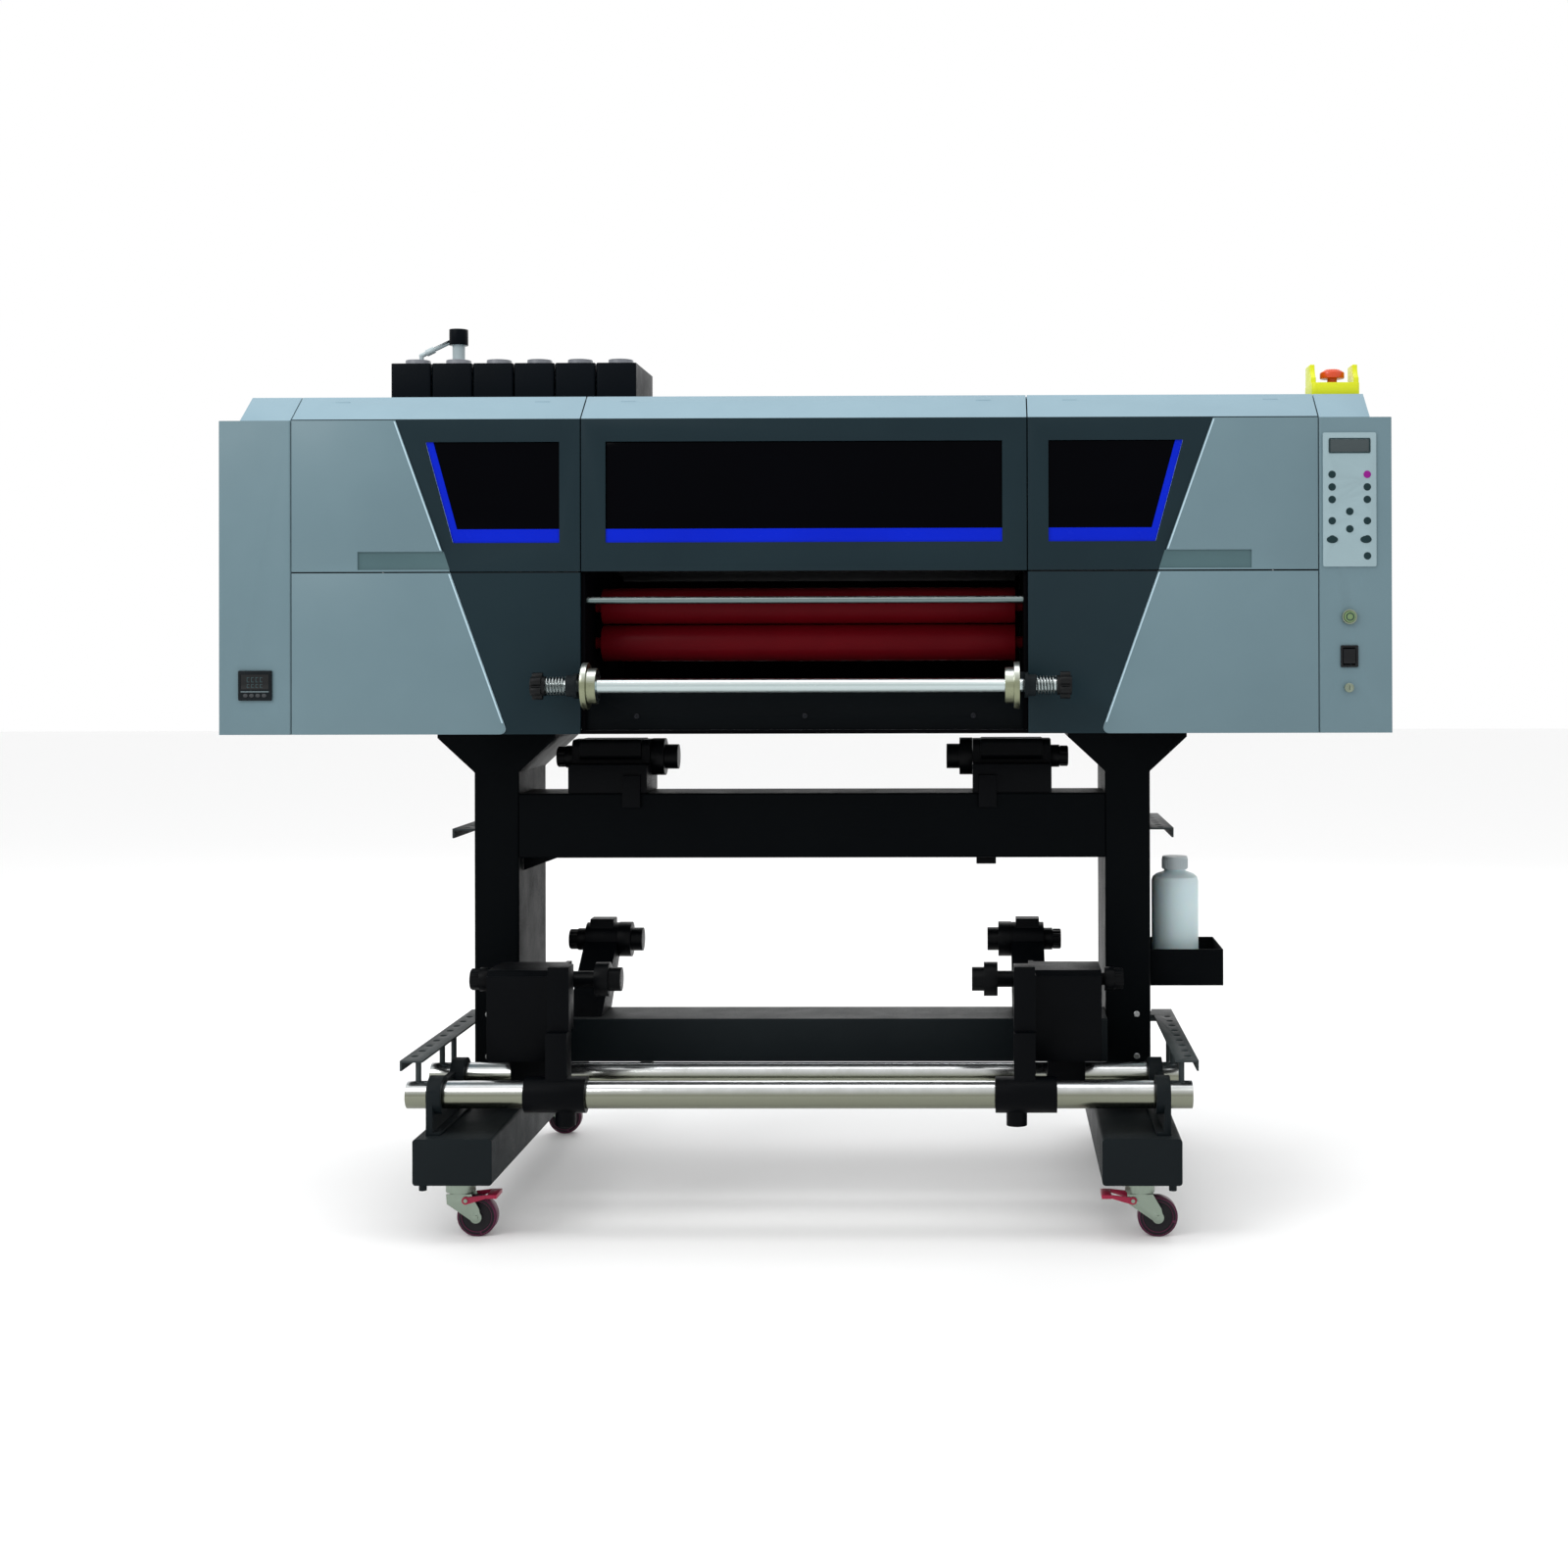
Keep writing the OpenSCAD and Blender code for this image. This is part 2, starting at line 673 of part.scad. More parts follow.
module upper_chuck() { chuck(upper_half, upper_axis_y, upper_axis_z, 0, 63, 42, 22); }
module mid_chuck() { chuck(mid_half, mid_axis_y, mid_axis_z, 0, 60, 40, 19); }
module lower_chuck() { chuck(lower_half + 7, lower_axis_y, lower_axis_z, 50, 54, 38, 19); }

module upper_chuck_l() { color("#1c2022") on_side(-1, upper_left_x) upper_chuck(); }
module upper_chuck_r() { color("#1c2022") on_side(1, upper_right_x) upper_chuck(); }
module mid_chuck_l() { color("#1c2022") on_side(-1, mid_left_x) mid_chuck(); }
module mid_chuck_r() { color("#1c2022") on_side(1, mid_right_x) mid_chuck(); }
module lower_chuck_l() { color("#1c2022") on_side(-1, lower_left_x) lower_chuck(); }
module lower_chuck_r() { color("#1c2022") on_side(1, lower_right_x) lower_chuck(); }

// ---- head skins ----
module cabinet_shell() {
    translate([seam_x + cabinet_w / 2, (front_y + back_y) / 2, head_bottom]) difference() {
        linear_extrude(head_h) round_rect(cabinet_w, head_depth, 4);
        translate([-skin, 0, skin]) linear_extrude(head_h - 2 * skin)
            square([cabinet_w, head_depth - 2 * skin], center = true);
    }
}

module end_cabinets() {
    color(light_grey) {
        difference() {
            cabinet_shell();
            y_rod(start_d + 2 * slide_gap, control_x, front_y - 1, front_y + 10, start_z);
            xz_plate(front_y - 1, skin + 2) translate([control_x, rocker_z])
                square([rocker_slot_w, rocker_slot_h], center = true);
            xz_plate(back_y - skin - 1, skin + 2) translate([control_x, inlet_z])
                square([inlet_w + 2 * inlet_wall, inlet_h + 2 * inlet_wall], center = true);
        }
        mirror([1, 0, 0]) difference() {
            cabinet_shell();
            xz_plate(front_y - 1, skin + 2) translate([meter_x, meter_z]) square([46, 42], center = true);
        }
    }
}

// The outer field of the front panels between two heights, on the right-hand side
module outer_field(z0, z1) {
    xz_plate(front_y, field_step + 0.5) polygon([[slant_x(z0), z0], [seam_x - seam / 2, z0],
        [seam_x - seam / 2, z1], [slant_x(z1), z1]]);
}

// The field's diagonal ends in a round foot at the bottom edge
module lower_field(top) {
    edge = seam_x - seam / 2;
    foot_x = slant_x(head_bottom);
    lean = atan2(top - head_bottom, slant_x(top) - foot_x);
    centre_x = foot_x + slant_foot_r / tan(lean / 2);
    xz_plate(front_y, field_step + 0.5) polygon(concat(
        [for (i = [0:6]) let (a = 270 - i * (180 - lean) / 6)
            [centre_x + slant_foot_r * cos(a), head_bottom + slant_foot_r + slant_foot_r * sin(a)]],
        [[slant_x(top), top], [edge, top], [edge, head_bottom]]));
}

module lower_panels() {
    inner = bay + seam / 2;
    top = door_z - seam;
    color(slate) both_sides() {
        box([inner, field_y, head_bottom], [seam_x - seam / 2, skin_back, top]);
        lower_field(top);
        box([inner, skin_back - 1, base_top + 1], [inner + skin, roller_y - 10, top]);
    }
}

module hinge_brackets(x) {
    x_rod(pin_d, x - knuckle_w / 2 - 4, x + knuckle_w / 2 + 4, hinge_y, hinge_z);
    for (s = [-1, 1]) translate([x + s * (knuckle_w / 2 + 2.5) - 1.5, hinge_y - 6, hinge_z - 5])
        cube([3, 12, hood_skin_z - hinge_z + 6]);
}

function side_hinges() = [bay + 70, seam_x - 70];
function centre_hinges() = [bay - 70];

module hinge_notch(x) {
    translate([x - knuckle_w / 2 - 0.5, hood_front_y - 1, hood_skin_z - 1]) cube([knuckle_w + 1, 16,
        skin + 2]);
}

module top_hood() {
    end_x = half_w - hood_step;
    end_in = seam_x + seam / 2;
    color(slate) {
        both_sides() difference() {
            yz_bar(end_in, end_x - end_in) polygon([[front_y, cab_top], [strip_top_y, hood_top],
                [back_y - 4, hood_top], [back_y - 4, cab_top]]);
            yz_bar(end_in + skin, end_x - end_in - 2 * skin) polygon([[front_y + 8, cab_top - 1],
                [strip_top_y + 2, hood_top - skin], [back_y - 4 - skin, hood_top - skin],
                [back_y - 4 - skin, cab_top - 1]]);
        }
        difference() {
            union() {
                box([-end_in - 1, hood_front_y, hood_skin_z], [end_in + 1, back_y - skin, hood_skin_top]);
                box([-seam_x + seam, back_y - skin, head_bottom], [seam_x - seam, back_y, hood_skin_top]);
            }
            both_sides() for (x = concat(side_hinges(), centre_hinges())) hinge_notch(x);
            for (row = [0:5], sx = [-1, 1]) box([sx * 480 - 90, back_y - skin - 1, head_bottom + 70 +
                row * 22],
                [sx * 480 + 90, back_y + 1, head_bottom + 78 + row * 22]);
        }
        both_sides() for (x = concat(side_hinges(), centre_hinges())) hinge_brackets(x);
    }
}

module apron() {
    back = front_y + 21;
    color(black) difference() {
        union() {
            box([-plate_in, back - skin, base_top], [plate_in, back, head_bottom + apron_h]);
            box([-plate_in, back - skin, base_top], [plate_in, back + 22, base_top + skin]);
        }
        for (x = [-0.77, 0, 0.77]) y_rod(5, x * plate_in, back - skin - 1, back + 1, head_bottom + 28);
    }
}

// ---- covers ----
// The bent front of a cover: flat lower part and sloped strip, drawn in Y and Z
module cover_profile() {
    run = sqrt(slope_d * slope_d + slope_h * slope_h);
    nx = skin * slope_h / run;
    nz = skin * slope_d / run;
    bend_z = cab_top - nz + (skin - nx) * slope_h / slope_d;
    polygon([[field_y, door_z], [field_y, cab_top + field_step * slope_h / slope_d], [strip_top_y,
        hood_top],
        [strip_top_y + nx, hood_top - nz], [skin_back, bend_z + field_step * slope_h / slope_d],
            [skin_back, door_z]]);
}

module cover_end_wall(x) {
    yz_bar(x, skin) polygon([[field_y, door_z], [field_y, cab_top], [strip_top_y - 6, hood_top - 8],
        [strip_top_y - 6, hood_top - 22], [skin_back + 16, cab_top - 22], [skin_back + 16, door_z]]);
}

module knuckle(x) {
    difference() {
        union() {
            x_rod(knuckle_d, x - knuckle_w / 2, x + knuckle_w / 2, hinge_y, hinge_z);
            box([x - knuckle_w / 2, strip_top_y - 14, hinge_z - 3], [x + knuckle_w / 2, hinge_y, hinge_z +
                2]);
        }
        x_rod(pin_d + 2 * run_gap, x - knuckle_w, x + knuckle_w, hinge_y, hinge_z);
    }
}

module cover_body(x0, x1, hinges) {
    yz_bar(x0, x1 - x0) cover_profile();
    box([x0, field_y, door_z], [x1, skin_back + 19, door_z + skin]);
    cover_end_wall(x0);
    cover_end_wall(x1 - skin);
    for (x = hinges) knuckle(x);
}

module side_window(grow) {
    z0 = door_z + window_rise - grow;
    z1 = door_z + window_rise + window_h + grow;
    x0 = bay + side_margin - grow;
    polygon([[x0, z0], [bay + side_margin + side_window_foot + grow, z0],
        [bay + side_margin + side_window_top + grow, z1], [x0, z1]]);
}

// The right-hand side cover; the left one is its mirror image
module side_cover() {
    x0 = bay + seam / 2;
    x1 = seam_x - seam / 2;
    grip_top = door_z + 32;
    color(slate) difference() {
        union() {
            cover_body(x0, x1, side_hinges());
            outer_field(door_z, cab_top);
        }
        xz_plate(front_y - 1, 20) side_window(0);
        xz_plate(front_y - 1, field_step + 1.5) polygon([[slant_x(door_z), door_z + skin], [x1 - 106,
            door_z + skin],
            [x1 - 106, grip_top], [slant_x(grip_top) - 2, grip_top]]);
    }
    color("#050507") xz_plate(skin_back + slide_gap, pane) side_window(8);
}

module right_cover() { side_cover(); }
module left_cover() { mirror([1, 0, 0]) side_cover(); }

module centre_window(grow) {
    z0 = door_z + window_rise - grow;
    square_w = opening_w - 2 * centre_margin + 2 * grow;
    translate([-square_w / 2, z0]) square([square_w, window_h + 2 * grow]);
}

module centre_cover() {
    x1 = bay - seam / 2;
    color(slate) difference() {
        cover_body(-x1, x1, [-centre_hinges()[0], centre_hinges()[0]]);
        xz_plate(front_y - 1, 20) centre_window(0);
    }
    color("#050507") xz_plate(skin_back + slide_gap, pane) centre_window(8);
}

// ---- laminator ----
module journalled_roller(face_d, face_len, shaft, y, z) {
    x_rod(face_d, -face_len / 2, face_len / 2, y, z);
    x_rod(shaft, -plate_in - plate_t, plate_in + plate_t, y, z);
}

module lower_roller() { color(dark_red) journalled_roller(roller_d, roller_len, journal_d, roller_y,
    roller_low_z); }
module upper_roller() { color(dark_red) journalled_roller(roller_d, roller_len, journal_d, roller_y,
    roller_high_z); }

module guide_bar() {
    color(silver) x_rod(guide_d, -plate_in, plate_in, front_y + guide_back, head_bottom + guide_rise);
}

module shaft_brackets() {
    bore = shaft_d + 2 * run_gap;
    lap_y = front_y + 10;
    color(black) both_sides() difference() {
        union() {
            box([plate_in, shaft_y, shaft_z - 20], [plate_in + bracket_t, lap_y, shaft_z + 20]);
            x_rod(40, plate_in, plate_in + bracket_t, shaft_y, shaft_z);
            x_rod(34, plate_in + bracket_t, plate_in + bracket_t + 12, shaft_y, shaft_z);
            box([plate_in - 6, lap_y - 10, head_bottom + apron_h + 1], [plate_in, lap_y + 40, shaft_z +
                20]);
        }
        x_rod(bore, plate_in - 30, plate_in + 40, shaft_y, shaft_z);
        for (y = [8, 30]) x_rod(5, plate_in - 10, plate_in + 1, lap_y + y, shaft_z + 5);
    }
}

module film_shaft() {
    flange_x = plate_in - 6 - 2;
    color(silver) {
        x_rod(shaft_d, -shaft_len / 2 + 4, shaft_len / 2 - 4, shaft_y, shaft_z);
        both_sides() {
            x_rod(flange_d, flange_x - 9, flange_x, shaft_y, shaft_z);
            x_rod(flange_d - 18, flange_x - flange_t, flange_x, shaft_y, shaft_z);
        }
    }
}

module tension_springs() {
    wire = spring_len / 7 + 0.4;
    rings = 7;
    step = (spring_len - wire) / (rings - 1);
    color(zinc) both_sides() translate([spring_x + wire / 2, shaft_y, shaft_z]) rotate([0, 90, 0])
        difference() {
        for (i = [0:rings - 1]) translate([0, 0, i * step]) rotate_extrude()
            translate([spring_d / 2 - wire / 2, 0]) circle(d = wire, $fn = 16);
        translate([0, 0, -wire]) cylinder(d = shaft_d + 2 * run_gap, h = spring_len + 2 * wire);
    }
}

module tension_knobs() {
    x0 = shaft_len / 2 - star_t;
    bore = shaft_d + 2 * run_gap;
    color(black) both_sides() difference() {
        union() {
            x_rod(star_d - 12, x0, shaft_len / 2, shaft_y, shaft_z);
            for (a = [0:60:300]) translate([x0 + 5, shaft_y, shaft_z]) rotate([a, 0, 0])
                translate([0, 0, star_d / 2 - 7]) rotate([0, 90, 0]) cylinder(d = 14, h = star_t - 7);
        }
        x_rod(bore, x0 - 1, shaft_len / 2 - 4 + slide_gap, shaft_y, shaft_z);
    }
}

// ---- controls ----
module keypad() {
    x0 = control_x + 1 - keypad_w / 2;
    keys = [[10, 147], [10, 127], [10, 107], [10, 73], [66, 147], [66, 127], [66, 107], [66, 73], [66, 17],
        [38, 88], [38, 60], [10, 44], [66, 44]];
    color("#aab9bc") union() {
        xz_plate(front_y - 2.5, 2.5) translate([control_x + 1, keypad_z])
            round_rect(keypad_w, keypad_h, 3);
        box([x0 + 9, front_y - 3, keypad_z + keypad_h / 2 - 31], [x0 + keypad_w - 9, front_y - 2,
            keypad_z + keypad_h / 2 - 11]);
        for (k = keys) y_rod(12, x0 + 4.5 + k[0], front_y - 3, front_y - 2, keypad_z - keypad_h / 2 + k[1]);
    }
}

module temp_controller() {
    color(black) {
        xz_plate(front_y - 4, 4) translate([-meter_x, meter_z]) round_rect(54, 48, 2);
        box([-meter_x - 22.5, front_y - 1, meter_z - 20.5], [-meter_x + 22.5, front_y + 60, meter_z +
            20.5]);
    }
}

module switch_bezels() {
    color(silver) difference() {
        union() {
            y_rod(24, control_x, front_y - 6, front_y, start_z);
            y_rod(15, control_x - 1, front_y - 6, front_y, key_z);
            xz_plate(front_y - 3, 3) translate([control_x, rocker_z]) round_rect(rocker_slot_w + 7,
                rocker_slot_h + 7, 2);
        }
        y_rod(start_d + 2 * slide_gap, control_x, front_y - 7, front_y + 1, start_z);
        box([control_x - 2, front_y - 7, key_z - 4], [control_x, front_y - 3, key_z + 4]);
        xz_plate(front_y - 4, 5) translate([control_x, rocker_z])
            square([rocker_slot_w, rocker_slot_h], center = true);
    }
    color(black) mains_inlet();
}

// Socket for the mains lead in the back of the right-hand cabinet: three flat pins high in its well
module mains_inlet() {
    well = 16;
    difference() {
        union() {
            xz_plate(back_y, 3) translate([control_x, inlet_z])
                round_rect(inlet_w + 2 * inlet_flange, inlet_h + inlet_flange, 3);
            xz_plate(back_y - well, well + 1) translate([control_x, inlet_z])
                square([inlet_w + 2 * inlet_wall, inlet_h + 2 * inlet_wall], center = true);
        }
        xz_plate(back_y - well + inlet_wall, well + 3) translate([control_x, inlet_z])
            polygon([[-inlet_w / 2, -inlet_h / 2], [inlet_w / 2, -inlet_h / 2],
                [inlet_w / 2, inlet_h / 2 - 5], [inlet_w / 2 - 5, inlet_h / 2],
                [5 - inlet_w / 2, inlet_h / 2], [-inlet_w / 2, inlet_h / 2 - 5]]);
    }
    for (pin = [[-7, 0], [0, 3], [7, 0]]) translate([control_x + pin[0], 0, inlet_z + pin[1]])
        box([-1, back_y - well + inlet_wall - 1, -1], [1, back_y, 3]);
}

module start_button() {
    color("#2f8f4a") {
        y_rod(start_d, control_x, front_y - 9, front_y + 20, start_z);
        y_rod(start_d + 6, control_x, front_y + 12, front_y + 20, start_z);
    }
}

module power_switch() {
    color(black) xz_plate(front_y - 4, 16) translate([control_x, rocker_z])
        square([rocker_w, rocker_h], center = true);
}

module e_stop_box() {
    w = 78;
    floor_z = hood_top;
    color("#ccd82a") difference() {
        union() {
            translate([stop_x, stop_y, floor_z]) linear_extrude(22) round_rect(w, w, 6);
            for (s = [-1, 1]) box([stop_x + s * 35 - 4, stop_y - 30, floor_z + 20],
                [stop_x + s * 35 + 4, stop_y + 30, floor_z + 54]);
        }
        translate([stop_x, stop_y, floor_z + 6]) cylinder(d = 16 + 2 * run_gap, h = 20);
        for (s = [-1, 1]) translate([stop_x + s * 35 - 5, stop_y - 42, floor_z + 54]) rotate([0, 90, 0])
            cylinder(r = 26, h = 10);
    }
}

module e_stop_button() {
    stem_z = hood_top + 12;
    color("#c5301c") translate([stop_x, stop_y, 0]) {
        translate([0, 0, stem_z]) cylinder(d = 16, h = 22);
        translate([0, 0, stem_z + 20]) cylinder(d = mushroom_d, h = 10);
        translate([0, 0, stem_z + 30]) cylinder(d1 = mushroom_d, d2 = mushroom_d - 14, h = 5);
    }
}

// ---- ink ----
module ink_tanks() {
    color(black) for (i = [0:tank_count - 1]) {
        translate([tank_x(i), tank_y + tank_d / 2, hood_skin_top]) linear_extrude(tank_h - cap_h)
            round_rect(tank_w, tank_d, 4);
        translate([tank_x(i), tank_y + 50, tank_top - cap_h]) cylinder(d = 44, h = cap_h);
    }
}

// Motor and neck on the second tank; the cable slants down and ends in the first tank's cap
module ink_stirrer() {
    cable_d = 8;
    y = tank_y + 50;
    neck_h = 27;
    high_x = tank_x(1) - 12;
    high_z = tank_top + neck_h + 8;
    low_x = tank_x(0) + 6;
    low_z = tank_top + 9;
    run = norm([high_x - low_x, high_z - low_z]);
    slope = atan2(high_x - low_x, high_z - low_z);
    translate([tank_x(1), y, tank_top]) {
        color("#e8ecee") cylinder(d = 22, h = neck_h + 1);
        color(black) translate([0, 0, neck_h]) cylinder(d = 33, h = motor_top - tank_top - neck_h);
    }
    color(black) {
        translate([low_x, y, low_z]) rotate([0, slope, 0]) cylinder(d = cable_d, h = run);
        translate([low_x, y, low_z]) sphere(d = cable_d + 1);
        translate([low_x, y, tank_top]) cylinder(d = cable_d, h = low_z - tank_top);
    }
    color("#e8ecee") translate([low_x, y, low_z]) rotate([0, slope, 0]) translate([0, 0, 10])
        cylinder(d = cable_d + 4, h = 16);
}

// ---- inside the head ----
module laminator_plate() {
    top = platen_z;
    difference() {
        yz_bar(plate_in, plate_t) polygon([[front_y + 10, base_top - 1], [beam_y + 68, base_top - 1],
            [beam_y + 68, top], [front_y + 60, top], [front_y + 60, door_z - seam], [front_y + 10,
                door_z - seam]]);
        for (z = [roller_low_z, roller_high_z])
            x_rod(journal_d + 2 * run_gap, plate_in - 1, bay + 1, roller_y, z);
        x_rod(12 + 2 * run_gap, plate_in - 1, bay + 1, feed_y, feed_z);
    }
}

feed_y = beam_y + 18;
feed_z = platen_z - 20;
cap_post_x = carriage_x;

module chassis() {
    color("#9aa0a3") difference() {
        union() {
            box([-seam_x + 3, skin_back, head_bottom], [seam_x - 3, back_y - skin, base_top]);
            both_sides() {
                laminator_plate();
                box([tower_x, beam_y - 60, base_top - 1], [tower_x + plate_t, beam_y + beam_d + 20,
                    beam_z + beam_h]);
            }
            for (s = [-1, 1]) translate([cap_post_x + s * 45, roller_y + 90, base_top - 1])
                cylinder(d = 16, h = platen_z - 30 - base_top);
        }
        box([-plate_in + 12, beam_y + 100, head_bottom - 1], [plate_in - 12, beam_y + 150, base_top + 1]);
    }
}

module gantry_beam() {
    color("#8c9194") {
        translate([-tower_x, beam_y + beam_d / 2, beam_z + beam_h / 2]) rotate([90, 0, 90])
            linear_extrude(2 * tower_x) hollow_rect(beam_d, beam_h, 3, 4);
        box([-tower_x + 6, beam_y - rail_t, rail_z], [tower_x - 6, beam_y + 1, rail_z + rail_h]);
    }
}

module carriage() {
    back = beam_y - rail_t - slide_gap;
    front = front_y + 140;
    low = platen_z + 3;
    color("#2a2f33") translate([carriage_x, 0, 0]) {
        box([-carriage_w / 2, front, low + 22], [carriage_w / 2, back, low + 160]);
        for (s = [-1, 1]) box([-carriage_w / 2 + 5, back - 1, s > 0 ? rail_z + rail_h +
            slide_gap : rail_z - slide_gap - 9],
            [carriage_w / 2 - 5, back + rail_t - 1, s > 0 ? rail_z + rail_h + slide_gap +
                9 : rail_z - slide_gap]);
        for (i = [-1:1]) box([i * 56 - 20, front + 24, low], [i * 56 + 20, back - 20, low + 23]);
        for (s = [-1, 1]) box([s * (carriage_w / 2 + 14) - 15, front + 10, low + 6],
            [s * (carriage_w / 2 + 14) + 15, back - 30, low + 90]);
    }
}

module platen() {
    color("#b4babc") difference() {
        box([-plate_in, front_y + 90, platen_z - platen_t], [plate_in, feed_y - 19, platen_z]);
        for (i = [-8:8]) box([i * 40 - 1, front_y + 100, platen_z - 1], [i * 40 + 1, feed_y - 30,
            platen_z + 1]);
    }
}

module feed_roller() { color("#6c7275") journalled_roller(32, 2 * plate_in - 16, 12, feed_y, feed_z); }

module cap_station() {
    top = platen_z + 3 - cap_gap;
    y = roller_y + 90;
    color("#30363a") translate([cap_post_x, 0, 0]) {
        difference() {
            box([-80, y - 55, top - 46], [80, y + 55, top - 6]);
            for (s = [-1, 1]) translate([s * 45, y, top - 50]) cylinder(d = 16 + 2 * run_gap, h = 60);
        }
        for (i = [-1:1]) difference() {
            box([i * 56 - 18, y - 40, top - 7], [i * 56 + 18, y + 10, top]);
            box([i * 56 - 15, y - 37, top - 4], [i * 56 + 15, y + 7, top + 1]);
        }
    }
}

feet();
legs();
crossbars();
guide_tubes();
tube_end_plates();
side_arms();
bottle_tray();
waste_bottle();
bottle_cap();
fork_fl();
fork_fr();
fork_rl();
fork_rr();
wheel_fl();
wheel_fr();
wheel_rl();
wheel_rr();
pedal_fl();
pedal_fr();
upper_holder_l();
upper_holder_r();
mid_holder_l();
mid_holder_r();
lower_holder_l();
lower_holder_r();
upper_chuck_l();
upper_chuck_r();
mid_chuck_l();
mid_chuck_r();
lower_chuck_l();
lower_chuck_r();
end_cabinets();
lower_panels();
top_hood();
apron();
left_cover();
centre_cover();
right_cover();
shaft_brackets();
film_shaft();
tension_springs();
tension_knobs();
lower_roller();
upper_roller();
guide_bar();
keypad();
temp_controller();
e_stop_box();
e_stop_button();
start_button();
power_switch();
switch_bezels();
ink_tanks();
ink_stirrer();
chassis();
gantry_beam();
carriage();
platen();
feed_roller();
cap_station();
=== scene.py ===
# Roll-to-roll film printer with a laminating station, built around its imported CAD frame. Metres, +Z up.
import json
import math

import bpy
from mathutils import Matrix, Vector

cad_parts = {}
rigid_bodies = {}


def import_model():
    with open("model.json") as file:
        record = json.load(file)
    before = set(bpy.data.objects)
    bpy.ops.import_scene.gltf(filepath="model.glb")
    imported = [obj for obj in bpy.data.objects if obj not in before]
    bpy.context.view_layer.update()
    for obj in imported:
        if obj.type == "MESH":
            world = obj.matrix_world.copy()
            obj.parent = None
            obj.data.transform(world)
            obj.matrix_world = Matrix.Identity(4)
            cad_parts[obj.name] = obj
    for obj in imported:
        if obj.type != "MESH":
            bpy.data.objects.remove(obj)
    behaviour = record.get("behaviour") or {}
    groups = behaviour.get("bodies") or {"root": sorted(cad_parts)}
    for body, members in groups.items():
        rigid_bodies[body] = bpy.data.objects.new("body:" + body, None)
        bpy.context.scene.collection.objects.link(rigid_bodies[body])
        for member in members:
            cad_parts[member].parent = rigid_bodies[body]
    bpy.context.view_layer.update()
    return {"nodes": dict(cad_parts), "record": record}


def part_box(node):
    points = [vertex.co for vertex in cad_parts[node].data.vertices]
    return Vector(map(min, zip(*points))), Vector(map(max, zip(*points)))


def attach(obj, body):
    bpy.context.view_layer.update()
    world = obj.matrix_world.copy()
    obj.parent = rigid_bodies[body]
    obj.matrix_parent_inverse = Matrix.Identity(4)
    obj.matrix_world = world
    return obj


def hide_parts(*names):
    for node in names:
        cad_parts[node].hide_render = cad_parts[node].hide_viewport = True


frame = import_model()
cadNodes = frame["nodes"]
bodyOf = {member: body for body, members in frame["record"]["behaviour"]["bodies"].items() for member in members}
bpy.ops.object.select_all(action="DESELECT")


# The camera, a pale floor and soft boxes
cameraSetup = {
    "place": (0.280, -3.602, 0.909), "turn": (90.25, 0.14, 0.58), "lens": 48.15, "shiftX": -0.1107, "shiftY": -0.0919,
}
studio = {"floor": 0.93, "air": (1.0, 1.0, 1.0), "airPower": 1.0}
lightSetup = [  # name, place, size, power, aim
    ("keySoftbox", (-3.4, -3.2, 3.9), (2.4, 1.6), 80, (-0.4, 0, 0.9)),
    ("fillSoftbox", (3.4, -2.6, 3.6), (2.0, 1.6), 8, (0, 0, 0.8)),
    ("topSoftbox", (0.0, -0.4, 4.4), (4.2, 2.0), 45, (0, 0, 0.8)),
    ("backSoftbox", (0.6, 3.8, 3.2), (3.2, 1.8), 40, (0, 0, 0.9)),
]


def aimAt(obj, target):
    dx, dy, dz = (target[i] - obj.location[i] for i in range(3))
    obj.rotation_euler = (math.atan2(math.hypot(dx, dy), -dz), 0, math.atan2(dy, dx) - math.pi / 2)


def makeCamera():
    bpy.ops.object.camera_add(location=cameraSetup["place"], rotation=[math.radians(a) for a in cameraSetup["turn"]])
    camera = bpy.context.object
    camera.name = "viewCamera"
    camera.data.lens = cameraSetup["lens"]
    camera.data.shift_x = cameraSetup["shiftX"]
    camera.data.shift_y = cameraSetup["shiftY"]
    bpy.context.scene.camera = camera


def makeStudio():
    bpy.ops.mesh.primitive_plane_add(size=40, location=(0, 0, 0))
    floor = bpy.context.object
    floor.name = "studioFloor"
    material = bpy.data.materials.new("studioWhite")
    material.use_nodes = True
    shader = material.node_tree.nodes["Principled BSDF"]
    shader.inputs["Base Color"].default_value = (*[studio["floor"]] * 3, 1)
    shader.inputs["Roughness"].default_value = 0.7
    floor.data.materials.append(material)
    world = bpy.data.worlds.new("studioAir")
    world.use_nodes = True
    world.node_tree.nodes["Background"].inputs["Color"].default_value = (*studio["air"], 1)
    world.node_tree.nodes["Background"].inputs["Strength"].default_value = studio["airPower"]
    bpy.context.scene.world = world
    bpy.context.scene.view_settings.view_transform = "Standard"
    for name, place, size, power, target in lightSetup:
        bpy.ops.object.light_add(type="AREA", location=place)
        lamp = bpy.context.object
        lamp.name = name
        lamp.data.shape = "RECTANGLE"
        lamp.data.size, lamp.data.size_y = size
        lamp.data.energy = power
        aimAt(lamp, target)


makeCamera()
makeStudio()
print("camera, floor and lights are set")


# Effects that several finishes share are node groups with named inputs
def newGroup(name, inputs, outputs):
    group = bpy.data.node_groups.new(name, "ShaderNodeTree")
    for label, kind, value in inputs:
        socket = group.interface.new_socket(label, in_out="INPUT", socket_type="NodeSocket" + kind)
        socket.default_value = value
    for label, kind in outputs:
        group.interface.new_socket(label, in_out="OUTPUT", socket_type="NodeSocket" + kind)
    return group, group.nodes.new("NodeGroupInput"), group.nodes.new("NodeGroupOutput")


